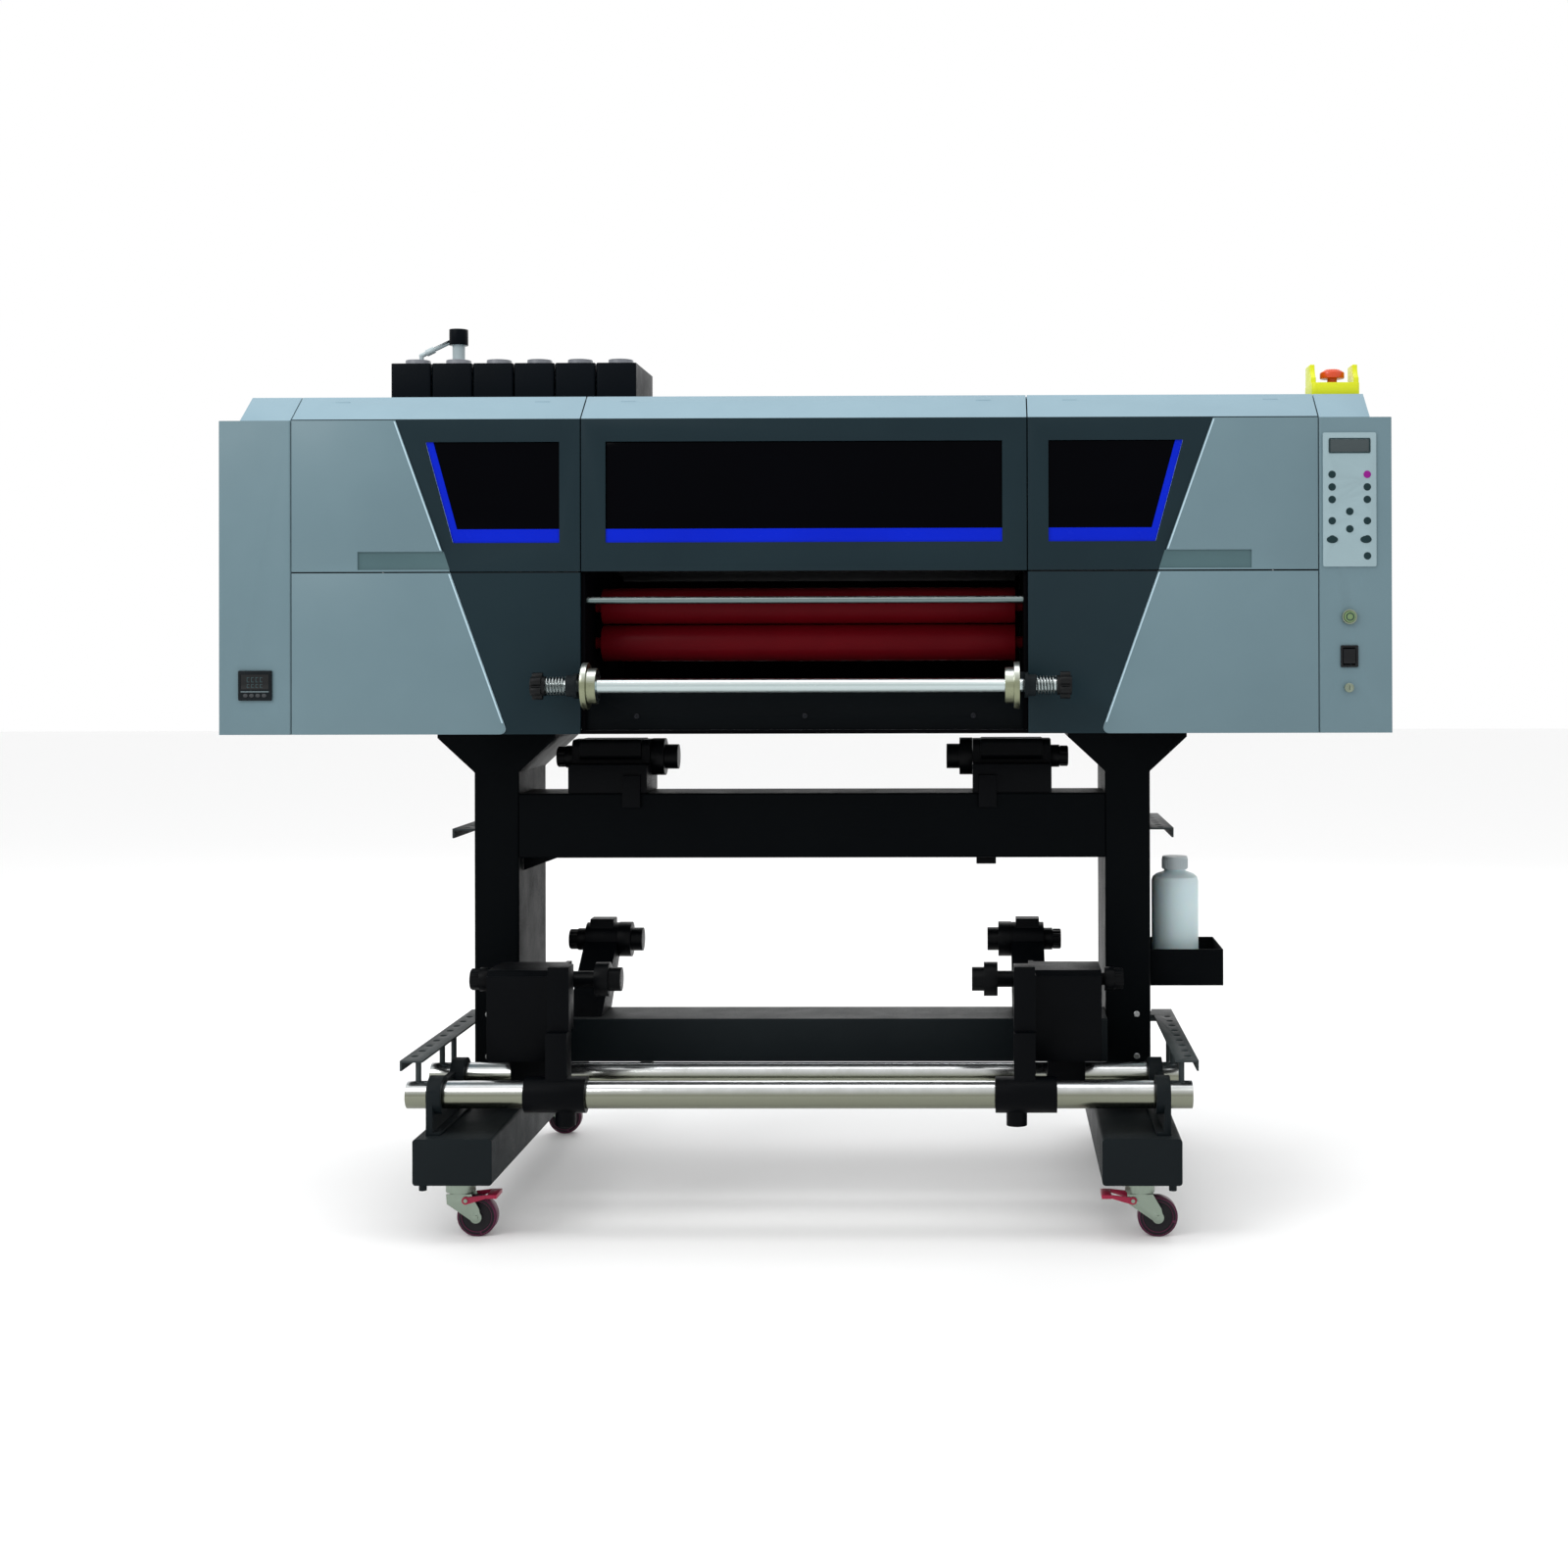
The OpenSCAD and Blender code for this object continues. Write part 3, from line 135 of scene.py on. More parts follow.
def addNoise(group, coordinates, detail, roughness=0.5):
    noise = group.nodes.new("ShaderNodeTexNoise")
    noise.inputs["Detail"].default_value = detail
    noise.inputs["Roughness"].default_value = roughness
    group.links.new(coordinates, noise.inputs["Vector"])
    return noise


def addRange(group, value, low, high, fromLow=0.3, fromHigh=0.7):
    spread = group.nodes.new("ShaderNodeMapRange")
    spread.inputs["From Min"].default_value = fromLow
    spread.inputs["From Max"].default_value = fromHigh
    group.links.new(value, spread.inputs["Value"])
    for socket, source in (("To Min", low), ("To Max", high)):
        if isinstance(source, (int, float)):
            spread.inputs[socket].default_value = source
        else:
            group.links.new(source, spread.inputs[socket])
    return spread.outputs["Result"]


def addMix(group, factor, colourA, colourB, blend="MIX"):
    mix = group.nodes.new("ShaderNodeMix")
    mix.data_type = "RGBA"
    mix.blend_type = blend
    for socket, source in ((mix.inputs[0], factor), (mix.inputs[6], colourA), (mix.inputs[7], colourB)):
        if isinstance(source, (int, float, tuple)):
            socket.default_value = source
        else:
            group.links.new(source, socket)
    return mix.outputs[2]


def addBump(group, height, depth, distance):
    bump = group.nodes.new("ShaderNodeBump")
    bump.inputs["Distance"].default_value = distance
    group.links.new(height, bump.inputs["Height"])
    group.links.new(depth, bump.inputs["Strength"])
    return bump.outputs["Normal"]


def makeSurfaceGroup():
    # Fine grain with slow drift of tone and gloss: powder coat, paint, moulded plastic and rubber
    group, inside, outside = newGroup("grainedSurface", [
        ("Colour", "Color", (0.5, 0.5, 0.5, 1)), ("Drift Colour", "Color", (0.4, 0.4, 0.4, 1)),
        ("Grain Size", "Float", 900.0), ("Grain Depth", "Float", 0.1),
        ("Gloss Low", "Float", 0.3), ("Gloss High", "Float", 0.5), ("Dust", "Float", 0.0)],
        [("Colour", "Color"), ("Roughness", "Float"), ("Normal", "Vector")])
    place = group.nodes.new("ShaderNodeTexCoord").outputs["Object"]
    drift = addNoise(group, place, 3, 0.6)
    drift.inputs["Scale"].default_value = 4.5
    grain = addNoise(group, place, 2, 0.55)
    group.links.new(inside.outputs["Grain Size"], grain.inputs["Scale"])
    smear = addNoise(group, place, 5, 0.65)
    smear.inputs["Scale"].default_value = 17
    driftMask = addRange(group, drift.outputs["Fac"], 0.0, 1.0)
    colour = addMix(group, driftMask, inside.outputs["Colour"], inside.outputs["Drift Colour"])
    normalNode = group.nodes.new("ShaderNodeNewGeometry")
    upward = group.nodes.new("ShaderNodeSeparateXYZ")
    group.links.new(normalNode.outputs["Normal"], upward.inputs["Vector"])
    dustTop = addRange(group, upward.outputs["Z"], 0.0, inside.outputs["Dust"], 0.6, 1.0)
    dustPatch = group.nodes.new("ShaderNodeMath")
    dustPatch.operation = "MULTIPLY"
    group.links.new(dustTop, dustPatch.inputs[0])
    group.links.new(addRange(group, smear.outputs["Fac"], 0.35, 1.0), dustPatch.inputs[1])
    dusty = addMix(group, dustPatch.outputs[0], colour, (0.42, 0.42, 0.40, 1))
    rough = addRange(group, smear.outputs["Fac"], inside.outputs["Gloss Low"], inside.outputs["Gloss High"])
    group.links.new(dusty, outside.inputs["Colour"])
    group.links.new(rough, outside.inputs["Roughness"])
    group.links.new(addBump(group, grain.outputs["Fac"], inside.outputs["Grain Depth"], 0.0008),
                    outside.inputs["Normal"])
    return group


def makeMetalGroup():
    # Drawn, ground or plated metal: hair-fine lines across one direction, set by the stretch vector. Faces that do not
    # point up are painted in a darker underside colour: painted shade and painted reflection
    group, inside, outside = newGroup("linedMetal", [
        ("Colour", "Color", (0.7, 0.7, 0.7, 1)), ("Stain", "Color", (0.5, 0.5, 0.5, 1)),
        ("Painted Underside Shade", "Color", (0.5, 0.5, 0.5, 1)), ("Stretch", "Vector", (1.0, 1.0, 1.0)),
        ("Line Depth", "Float", 0.1),
        ("Gloss Low", "Float", 0.15), ("Gloss High", "Float", 0.3)],
        [("Colour", "Color"), ("Roughness", "Float"), ("Normal", "Vector")])
    place = group.nodes.new("ShaderNodeTexCoord").outputs["Object"]
    stretch = group.nodes.new("ShaderNodeVectorMath")
    stretch.operation = "MULTIPLY"
    group.links.new(place, stretch.inputs[0])
    group.links.new(inside.outputs["Stretch"], stretch.inputs[1])
    lines = addNoise(group, stretch.outputs[0], 4, 0.7)
    lines.inputs["Scale"].default_value = 60
    stain = addNoise(group, place, 4, 0.6)
    stain.inputs["Scale"].default_value = 22
    mask = addRange(group, stain.outputs["Fac"], 0.0, 1.0, 0.35, 0.75)
    stained = addMix(group, mask, inside.outputs["Colour"], inside.outputs["Stain"])
    facing = group.nodes.new("ShaderNodeSeparateXYZ")
    group.links.new(group.nodes.new("ShaderNodeNewGeometry").outputs["Normal"], facing.inputs["Vector"])
    # painted shade and reflection: faces that do not point up take the darker underside colour
    undersideShadeMask = addRange(group, facing.outputs["Z"], 1.0, 0.0, 0.15, 0.75)
    group.links.new(addMix(group, undersideShadeMask, stained, inside.outputs["Painted Underside Shade"]), outside.inputs["Colour"])
    rough = addRange(group, lines.outputs["Fac"], inside.outputs["Gloss Low"], inside.outputs["Gloss High"])
    group.links.new(rough, outside.inputs["Roughness"])
    group.links.new(addBump(group, lines.outputs["Fac"], inside.outputs["Line Depth"], 0.0004),
                    outside.inputs["Normal"])
    return group


surfaceGroup = makeSurfaceGroup()
metalGroup = makeMetalGroup()


def makeMaterial(name, group, values, shaderValues):
    material = bpy.data.materials.new(name)
    material.use_nodes = True
    tree = material.node_tree
    shader = tree.nodes["Principled BSDF"]
    effect = tree.nodes.new("ShaderNodeGroup")
    effect.node_tree = group
    for label, value in values.items():
        effect.inputs[label].default_value = value
    for label, value in shaderValues.items():
        shader.inputs[label].default_value = value
    tree.links.new(effect.outputs["Colour"], shader.inputs["Base Color"])
    tree.links.new(effect.outputs["Roughness"], shader.inputs["Roughness"])
    tree.links.new(effect.outputs["Normal"], shader.inputs["Normal"])
    return material


def grained(name, colour, drift, gloss, grain=(900, 0.1), dust=0.0, **shaderValues):
    return makeMaterial(name, surfaceGroup, {
        "Colour": (*colour, 1), "Drift Colour": (*drift, 1), "Grain Size": grain[0], "Grain Depth": grain[1],
        "Gloss Low": gloss[0], "Gloss High": gloss[1], "Dust": dust}, shaderValues)


def metal(name, colour, stain, under, gloss, stretch, depth=0.1, **shaderValues):
    return makeMaterial(name, metalGroup, {
        "Colour": (*colour, 1), "Stain": (*stain, 1), "Painted Underside Shade": (*under, 1), "Stretch": stretch,
        "Line Depth": depth, "Gloss Low": gloss[0], "Gloss High": gloss[1]}, {"Metallic": 1.0, **shaderValues})


finishes = {  # shine is the shader's specular level; the second colour is where the first drifts to
    "lightPaint": grained("lightPaint", (0.118, 0.190, 0.219), (0.107, 0.175, 0.203), (0.36, 0.48), (1400, 0.10), 0.03,
                          **{"Specular IOR Level": 0.35}),
    "slatePaint": grained("slatePaint", (0.0085, 0.0205, 0.0265), (0.0070, 0.0175, 0.0232), (0.34, 0.46), (1400, 0.10),
                          0.03, **{"Specular IOR Level": 0.1}),
    # The light paint made darker for the floor of the grip recesses: painted shade
    "shadedRecessPaint": grained("shadedRecessPaint", (0.066, 0.122, 0.134), (0.056, 0.106, 0.117), (0.4, 0.52), (1400, 0.10), 0.0,
                           **{"Specular IOR Level": 0.2}),
    # The light paint made lighter for the hood and the sloped strip that face up to the lamps: painted light
    "hoodPaintWithPaintedLight": grained("hoodPaintWithPaintedLight", (0.220, 0.338, 0.402), (0.201, 0.311, 0.374), (0.38, 0.5), (1400, 0.10), 0.05,
                         **{"Specular IOR Level": 0.35}),
    "standCoat": grained("standCoat", (0.0055, 0.0088, 0.0105), (0.0042, 0.0068, 0.0084), (0.38, 0.52), (1900, 0.35),
                         0.02, **{"Specular IOR Level": 0.09}),
    # The stand's powder coat made darker for the legs, upper crossbars, tray and gusset: painted shade
    "legCoat": grained("legCoat", (0.0012, 0.0020, 0.0026), (0.0008, 0.0014, 0.0020), (0.36, 0.50), (1900, 0.35), 0.02,
                       **{"Specular IOR Level": 0.03}),
    "armCoat": grained("armCoat", (0.030, 0.039, 0.041), (0.022, 0.029, 0.031), (0.42, 0.56), (1700, 0.30), 0.03,
                       **{"Specular IOR Level": 0.15}),
    "holderMould": grained("holderMould", (0.0010, 0.0015, 0.0022), (0.0006, 0.0010, 0.0016), (0.30, 0.44),
                           (2400, 0.30), 0.0, **{"Specular IOR Level": 0.05}),
    "chuckMould": grained("chuckMould", (0.0014, 0.0018, 0.0024), (0.0010, 0.0013, 0.0018), (0.26, 0.40),
                          (2600, 0.22), 0.0, **{"Specular IOR Level": 0.07}),
    "knobMould": grained("knobMould", (0.0028, 0.0034, 0.0040), (0.0020, 0.0026, 0.0030), (0.30, 0.44), (2600, 0.25),
                         0.0, **{"Specular IOR Level": 0.16}),
    "apronCoat": grained("apronCoat", (0.0018, 0.0030, 0.0038), (0.0013, 0.0022, 0.0029), (0.38, 0.52), (1800, 0.2),
                         0.0, **{"Specular IOR Level": 0.04}),
    # Near-black for faces inside the head: painted shade
    "innerBlack": grained("innerBlack", (0.0007, 0.0007, 0.0012), (0.0010, 0.0010, 0.0016), (0.5, 0.65), (1800, 0.2),
                          0.0, **{"Specular IOR Level": 0.02}),
    "rollerRubber": grained("rollerRubber", (0.105, 0.0016, 0.0046), (0.075, 0.0012, 0.0038), (0.34, 0.46),
                            (500, 0.05), 0.0, **{"Specular IOR Level": 0.05}),
    "feedRubber": grained("feedRubber", (0.030, 0.031, 0.033), (0.022, 0.023, 0.025), (0.6, 0.75), (1200, 0.3)),
    "wheelTread": grained("wheelTread", (0.095, 0.006, 0.040), (0.060, 0.004, 0.026), (0.28, 0.42), (900, 0.15), 0.0,
                          **{"Specular IOR Level": 0.3}),
    "wheelCore": grained("wheelCore", (0.0060, 0.0048, 0.0075), (0.0042, 0.0034, 0.0055), (0.35, 0.5), (1500, 0.2),
                         0.03, **{"Specular IOR Level": 0.2}),
    "pedalRed": grained("pedalRed", (0.34, 0.008, 0.045), (0.26, 0.006, 0.035), (0.25, 0.4), (1500, 0.12), 0.02,
                        **{"Specular IOR Level": 0.3}),
    "stopYellow": grained("stopYellow", (0.66, 0.70, 0.010), (0.58, 0.62, 0.008), (0.28, 0.42), (1800, 0.15), 0.0,
                          **{"Specular IOR Level": 0.3}),
    "stopRed": grained("stopRed", (0.62, 0.060, 0.006), (0.52, 0.040, 0.006), (0.2, 0.32), (1200, 0.06)),
    "tankMould": grained("tankMould", (0.0009, 0.0022, 0.0038), (0.0014, 0.0030, 0.0050), (0.34, 0.50), (700, 0.28),
                         0.0, **{"Specular IOR Level": 0.05}),
    "capGrey": grained("capGrey", (0.17, 0.18, 0.205), (0.12, 0.13, 0.15), (0.36, 0.5), (1400, 0.2), 0.02),
    "keypadFilm": grained("keypadFilm", (0.265, 0.365, 0.395), (0.245, 0.340, 0.370), (0.38, 0.5), (2600, 0.22), 0.0,
                          **{"Specular IOR Level": 0.35}),
    "keyDark": grained("keyDark", (0.008, 0.028, 0.032), (0.006, 0.022, 0.026), (0.35, 0.5), (2600, 0.2), 0.0,
                       **{"Specular IOR Level": 0.15}),
    "keyPurple": grained("keyPurple", (0.25, 0.003, 0.22), (0.20, 0.003, 0.18), (0.35, 0.5), (2600, 0.2), 0.0,
                         **{"Specular IOR Level": 0.2}),
    "displayGlass": grained("displayGlass", (0.050, 0.066, 0.070), (0.040, 0.054, 0.058), (0.10, 0.18), (300, 0.01),
                            0.0, **{"Specular IOR Level": 0.25}),
    "meterPlastic": grained("meterPlastic", (0.0022, 0.0050, 0.0070), (0.0016, 0.0036, 0.0052), (0.22, 0.36),
                            (2200, 0.15), 0.0, **{"Specular IOR Level": 0.15}),
    "meterGlass": grained("meterGlass", (0.0030, 0.0040, 0.0045), (0.0022, 0.0030, 0.0034), (0.08, 0.14), (300, 0.01),
                          0.0, **{"Specular IOR Level": 0.3}),
    "meterDigits": grained("meterDigits", (0.022, 0.050, 0.056), (0.018, 0.042, 0.048), (0.3, 0.4), (300, 0.01), 0.0,
                           **{"Specular IOR Level": 0.3}),
    "meterKeys": grained("meterKeys", (0.20, 0.27, 0.29), (0.16, 0.22, 0.24), (0.35, 0.5), (2200, 0.15)),
    "switchPlastic": grained("switchPlastic", (0.0026, 0.0032, 0.0046), (0.0020, 0.0024, 0.0034), (0.16, 0.28),
                             (2000, 0.08), 0.0, **{"Specular IOR Level": 0.22}),
    "startGreen": grained("startGreen", (0.125, 0.205, 0.085), (0.100, 0.165, 0.070), (0.16, 0.28), (900, 0.04)),
    "bottlePlastic": grained("bottlePlastic", (0.59, 0.70, 0.73), (0.53, 0.64, 0.665), (0.34, 0.46), (260, 0.10), 0.0,
                             **{"Subsurface Weight": 0.25, "Subsurface Scale": 0.02}),
    "capPlastic": grained("capPlastic", (0.44, 0.49, 0.51), (0.37, 0.43, 0.45), (0.3, 0.42), (1500, 0.12)),
    "neckPlastic": grained("neckPlastic", (0.42, 0.50, 0.52), (0.28, 0.34, 0.36), (0.22, 0.34), (900, 0.06)),
    "windowTint": grained("windowTint", (0.0004, 0.0005, 0.0013), (0.0003, 0.0004, 0.0010), (0.06, 0.10), (40, 0.01),
                          0.0, **{"Specular IOR Level": 0.025}),
    "blueBand": grained("blueBand", (0.0, 0.014, 0.50), (0.0, 0.011, 0.43), (0.2, 0.3), (900, 0.04), 0.0,
                        **{"Specular IOR Level": 0.08}),
    # Dark rubber for the door seals, also painted onto the edges beside the seams as painted shade
    "seamShadeRubber": grained("seamShadeRubber", (0.0035, 0.0035, 0.0045), (0.0026, 0.0026, 0.0034), (0.5, 0.7),
                            (1200, 0.2), 0.0, **{"Specular IOR Level": 0.1}),
    # A light colour for thin strips and edge faces: painted highlight
    "paintedHighlightEdge": grained("paintedHighlightEdge", (0.40, 0.55, 0.62), (0.34, 0.48, 0.55), (0.25, 0.35), (1400, 0.05)),
    "carriageCase": grained("carriageCase", (0.014, 0.018, 0.022), (0.010, 0.014, 0.017), (0.35, 0.5), (1800, 0.25)),
    "capStation": grained("capStation", (0.022, 0.026, 0.030), (0.016, 0.020, 0.023), (0.5, 0.65), (1500, 0.25)),
    # The third colour of each metal is its painted underside shade, the darker reflection on faces not turned up
    "chromeTube": metal("chromeTube", (0.80, 0.82, 0.84), (0.62, 0.64, 0.64), (0.205, 0.215, 0.165), (0.14, 0.26),
                        (1.0, 40.0, 40.0), 0.05),
    "shaftSteel": metal("shaftSteel", (0.88, 0.93, 0.93), (0.78, 0.84, 0.84), (0.48, 0.56, 0.56), (0.18, 0.30),
                        (1.0, 40.0, 40.0), 0.06),
    "rodSteel": metal("rodSteel", (0.66, 0.74, 0.74), (0.52, 0.60, 0.60), (0.15, 0.20, 0.20), (0.18, 0.30),
                      (1.0, 40.0, 40.0), 0.06),
    "flangeAlloy": metal("flangeAlloy", (0.80, 0.84, 0.80), (0.62, 0.66, 0.60), (0.24, 0.26, 0.17), (0.24, 0.38),
                         (2.0, 30.0, 30.0), 0.10),
    "springSteel": metal("springSteel", (0.62, 0.68, 0.68), (0.40, 0.44, 0.44), (0.10, 0.12, 0.12), (0.22, 0.36),
                         (8.0, 8.0, 8.0), 0.06),
    "casterZinc": metal("casterZinc", (0.62, 0.70, 0.64), (0.40, 0.46, 0.38), (0.24, 0.29, 0.24), (0.26, 0.42),
                        (6.0, 6.0, 6.0), 0.12),
    "bezelChrome": metal("bezelChrome", (0.62, 0.68, 0.60), (0.46, 0.52, 0.44), (0.22, 0.26, 0.20), (0.14, 0.24),
                         (5.0, 5.0, 5.0), 0.03),
    "screwZinc": metal("screwZinc", (0.62, 0.64, 0.65), (0.46, 0.47, 0.48), (0.30, 0.31, 0.31), (0.25, 0.4),
                       (9.0, 9.0, 9.0), 0.10),
    "screwBlack": metal("screwBlack", (0.050, 0.052, 0.056), (0.034, 0.036, 0.040), (0.016, 0.017, 0.020),
                        (0.30, 0.45), (9.0, 9.0, 9.0), 0.10),
    "chassisZinc": metal("chassisZinc", (0.34, 0.35, 0.36), (0.25, 0.26, 0.27), (0.16, 0.17, 0.17), (0.30, 0.45),
                         (5.0, 5.0, 5.0), 0.10),
    "beamAlloy": metal("beamAlloy", (0.42, 0.43, 0.44), (0.36, 0.37, 0.38), (0.22, 0.23, 0.23), (0.28, 0.40),
                       (1.0, 40.0, 40.0), 0.10),
}
print("materials are ready:", len(finishes))


# CAD pieces are copied with their edges broken, and stand in for the nodes they came from
edgeWork = {  # node: edge width, finish
    "feet": (0.0016, "standCoat"), "legs": (0.0014, "legCoat"), "crossbars": (0.0014, "legCoat"),
    "tube_end_plates": (0.0010, "standCoat"), "side_arms": (0.0006, "armCoat"), "bottle_tray": (0.0006, "legCoat"),
    "shaft_brackets": (0.0008, "standCoat"), "guide_tubes": (0.0010, "chromeTube"),
    "upper_holder_l": (0.0020, "holderMould"), "upper_holder_r": (0.0020, "holderMould"),
    "mid_holder_l": (0.0016, "holderMould"), "mid_holder_r": (0.0016, "holderMould"),
    "lower_holder_l": (0.0018, "holderMould"), "lower_holder_r": (0.0018, "holderMould"),
    "upper_chuck_l": (0.0012, "chuckMould"), "upper_chuck_r": (0.0012, "chuckMould"),
    "mid_chuck_l": (0.0012, "chuckMould"), "mid_chuck_r": (0.0012, "chuckMould"),
    "lower_chuck_l": (0.0012, "chuckMould"), "lower_chuck_r": (0.0012, "chuckMould"),
    "fork_fl": (0.0005, "casterZinc"), "fork_fr": (0.0005, "casterZinc"), "fork_rl": (0.0005, "casterZinc"),
    "fork_rr": (0.0005, "casterZinc"), "wheel_fl": (0.0014, "wheelCore"), "wheel_fr": (0.0014, "wheelCore"),
    "wheel_rl": (0.0014, "wheelCore"), "wheel_rr": (0.0014, "wheelCore"), "pedal_fl": (0.0010, "pedalRed"),
    "pedal_fr": (0.0010, "pedalRed"), "end_cabinets": (0.0014, "lightPaint"), "lower_panels": (0.0010, "slatePaint"),
    "top_hood": (0.0010, "hoodPaintWithPaintedLight"), "apron": (0.0006, "apronCoat"), "left_cover": (0.0009, "slatePaint"),
    "centre_cover": (0.0009, "slatePaint"), "right_cover": (0.0009, "slatePaint"),
    "film_shaft": (0.0008, "shaftSteel"), "tension_knobs": (0.0014, "knobMould"),
    "lower_roller": (0.0010, "rollerRubber"), "upper_roller": (0.0010, "rollerRubber"),
    "guide_bar": (0.0, "rodSteel"), "keypad": (0.0004, "keypadFilm"), "temp_controller": (0.0008, "meterPlastic"),
    "e_stop_box": (0.0012, "stopYellow"), "e_stop_button": (0.0012, "stopRed"), "start_button": (0.0010, "startGreen"),
    "power_switch": (0.0012, "switchPlastic"), "switch_bezels": (0.0006, "bezelChrome"),
    "ink_tanks": (0.0022, "tankMould"), "ink_stirrer": (0.0010, "tankMould"), "waste_bottle": (0.0, "bottlePlastic"),
    "bottle_cap": (0.0012, "capPlastic"), "chassis": (0.0006, "chassisZinc"), "gantry_beam": (0.0008, "beamAlloy"),
    "carriage": (0.0016, "carriageCase"), "platen": (0.0003, "beamAlloy"), "feed_roller": (0.0006, "feedRubber"),
    "cap_station": (0.0012, "capStation"),
}


def makeActive(obj):
    bpy.ops.object.select_all(action="DESELECT")
    obj.select_set(True)
    bpy.context.view_layer.objects.active = obj


def bevelEdges(obj, width, angle=35, segments=2):
    makeActive(obj)
    bevel = obj.modifiers.new("edges", "BEVEL")
    bevel.width = width
    bevel.segments = segments
    bevel.limit_method = "ANGLE"
    bevel.angle_limit = math.radians(angle)
    bevel.use_clamp_overlap = True
    bpy.ops.object.modifier_apply(modifier=bevel.name)


def smoothByAngle(obj, angle=32):
    makeActive(obj)
    bpy.ops.object.shade_smooth_by_angle(angle=math.radians(angle))


def finishPiece(obj, body, finish):
    obj.data.materials.clear()
    obj.data.materials.append(finishes[finish])
    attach(obj, body)
    return obj


def breakEdges(node, width, finish):
    piece = bpy.data.objects.new(node + "_trimmed", cadNodes[node].data.copy())
    bpy.context.scene.collection.objects.link(piece)
    makeActive(piece)
    bpy.ops.mesh.customdata_custom_splitnormals_clear()
    bpy.ops.object.mode_set(mode="EDIT")
    bpy.ops.mesh.select_all(action="SELECT")
    bpy.ops.mesh.remove_doubles(threshold=0.00002)
    bpy.ops.mesh.dissolve_limited(angle_limit=math.radians(0.8))
    bpy.ops.object.mode_set(mode="OBJECT")
    if width > 0:
        bevelEdges(piece, width)
    smoothByAngle(piece)
    finishPiece(piece, bodyOf[node], finish)
    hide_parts(node)
    return piece


trimmed = {node: breakEdges(node, *work) for node, work in edgeWork.items()}
print("CAD pieces trimmed:", len(trimmed))


def paintFaces(obj, finish, test):
    obj.data.materials.append(finishes[finish])
    index = len(obj.data.materials) - 1
    for face in obj.data.polygons:
        if test(face.center, face.normal):
            face.material_index = index


# Colours of the head skins: light and slate fields, the sloped strip above with painted light, windows, and recesses
# with painted shade
coverLow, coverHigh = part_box("right_cover")
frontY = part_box("end_cabinets")[0].y
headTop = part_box("end_cabinets")[1].z
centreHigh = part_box("centre_cover")[1]
skinWork = {"fieldStep": 0.0025, "skin": 0.003, "stripStart": headTop + 0.0035, "paneGap": 0.0003, "pane": 0.004}
windowWork = {
    "rise": 0.046, "height": 0.162, "sideMargin": 0.034, "sideTop": 0.215, "sideFoot": 0.171, "centreMargin": 0.040,
    "bandHeight": 0.022, "bandEdge": 0.012, "bandThick": 0.0008,
}
fieldTest = frontY + skinWork["fieldStep"] - 0.0003
paneFront = frontY + skinWork["fieldStep"] + skinWork["skin"] + skinWork["paneGap"]


def isField(centre, normal):
    return centre.y < fieldTest and centre.z < skinWork["stripStart"]


def isHighlightedFieldEdge(centre, normal):
    return centre.y < fieldTest + 0.0022 and normal.y > -0.85 and abs(normal.x) > 0.5 and \
        centreHigh.x + 0.05 < abs(centre.x) < centreHigh.x + 0.26


def isStrip(centre, normal):
    return centre.z > skinWork["stripStart"] and normal.z > -0.2


def isPane(centre, normal):
    inside = coverLow.z + windowWork["rise"] - 0.010 < centre.z < headTop
    return inside and paneFront - 0.00015 < centre.y < paneFront + skinWork["pane"] + 0.0002 and \
        abs(abs(centre.x) - coverLow.x) > 0.012 and abs(centre.x) < coverHigh.x - 0.15


for side in ("left_cover", "right_cover"):
    paintFaces(trimmed[side], "lightPaint", isField)
# painted light: the sloped strip takes the lighter copy of the light paint
for cover in ("left_cover", "centre_cover", "right_cover"):
    paintFaces(trimmed[cover], "hoodPaintWithPaintedLight", isStrip)
    paintFaces(trimmed[cover], "windowTint", isPane)
paintFaces(trimmed["lower_panels"], "lightPaint", isField)
seamEdge = 0.0011  # how much of each edge beside the seam is painted dark as painted shade in the seam
# painted shade: the cover and panel edges along the seam are painted dark to widen the seam's shaded line
for cover in ("left_cover", "centre_cover", "right_cover"):
    paintFaces(trimmed[cover], "seamShadeRubber", lambda c, n: c.z < coverLow.z + seamEdge)
paintFaces(trimmed["lower_panels"], "seamShadeRubber", lambda c, n: c.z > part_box("lower_panels")[1].z - seamEdge)


def platePiece(name, outline, y, thick, body, finish, edge=0.0):
    # A flat piece from an outline in X and Z, standing in front of y
    bpy.ops.object.select_all(action="DESELECT")
    bpy.ops.mesh.primitive_circle_add(vertices=len(outline), radius=0.1, fill_type="NGON")
    plate = bpy.context.object
    plate.name = name
    for vertex, (x, z) in zip(plate.data.vertices, outline):
        vertex.co = (x, y, z)
    bpy.ops.object.mode_set(mode="EDIT")
    bpy.ops.mesh.select_all(action="SELECT")
    bpy.ops.mesh.extrude_region_move(TRANSFORM_OT_translate={"value": (0, -thick, 0)})
    bpy.ops.mesh.select_all(action="SELECT")
    bpy.ops.mesh.normals_make_consistent(inside=False)
    bpy.ops.object.mode_set(mode="OBJECT")
    if edge > 0:
        bevelEdges(plate, edge)
    smoothByAngle(plate)
    return finishPiece(plate, body, finish)


slantHighlightWork = {"topIn": 0.168, "footOut": 0.122, "footRise": 0.014, "wide": 0.0026, "proud": 0.0003, "start": 0.024}


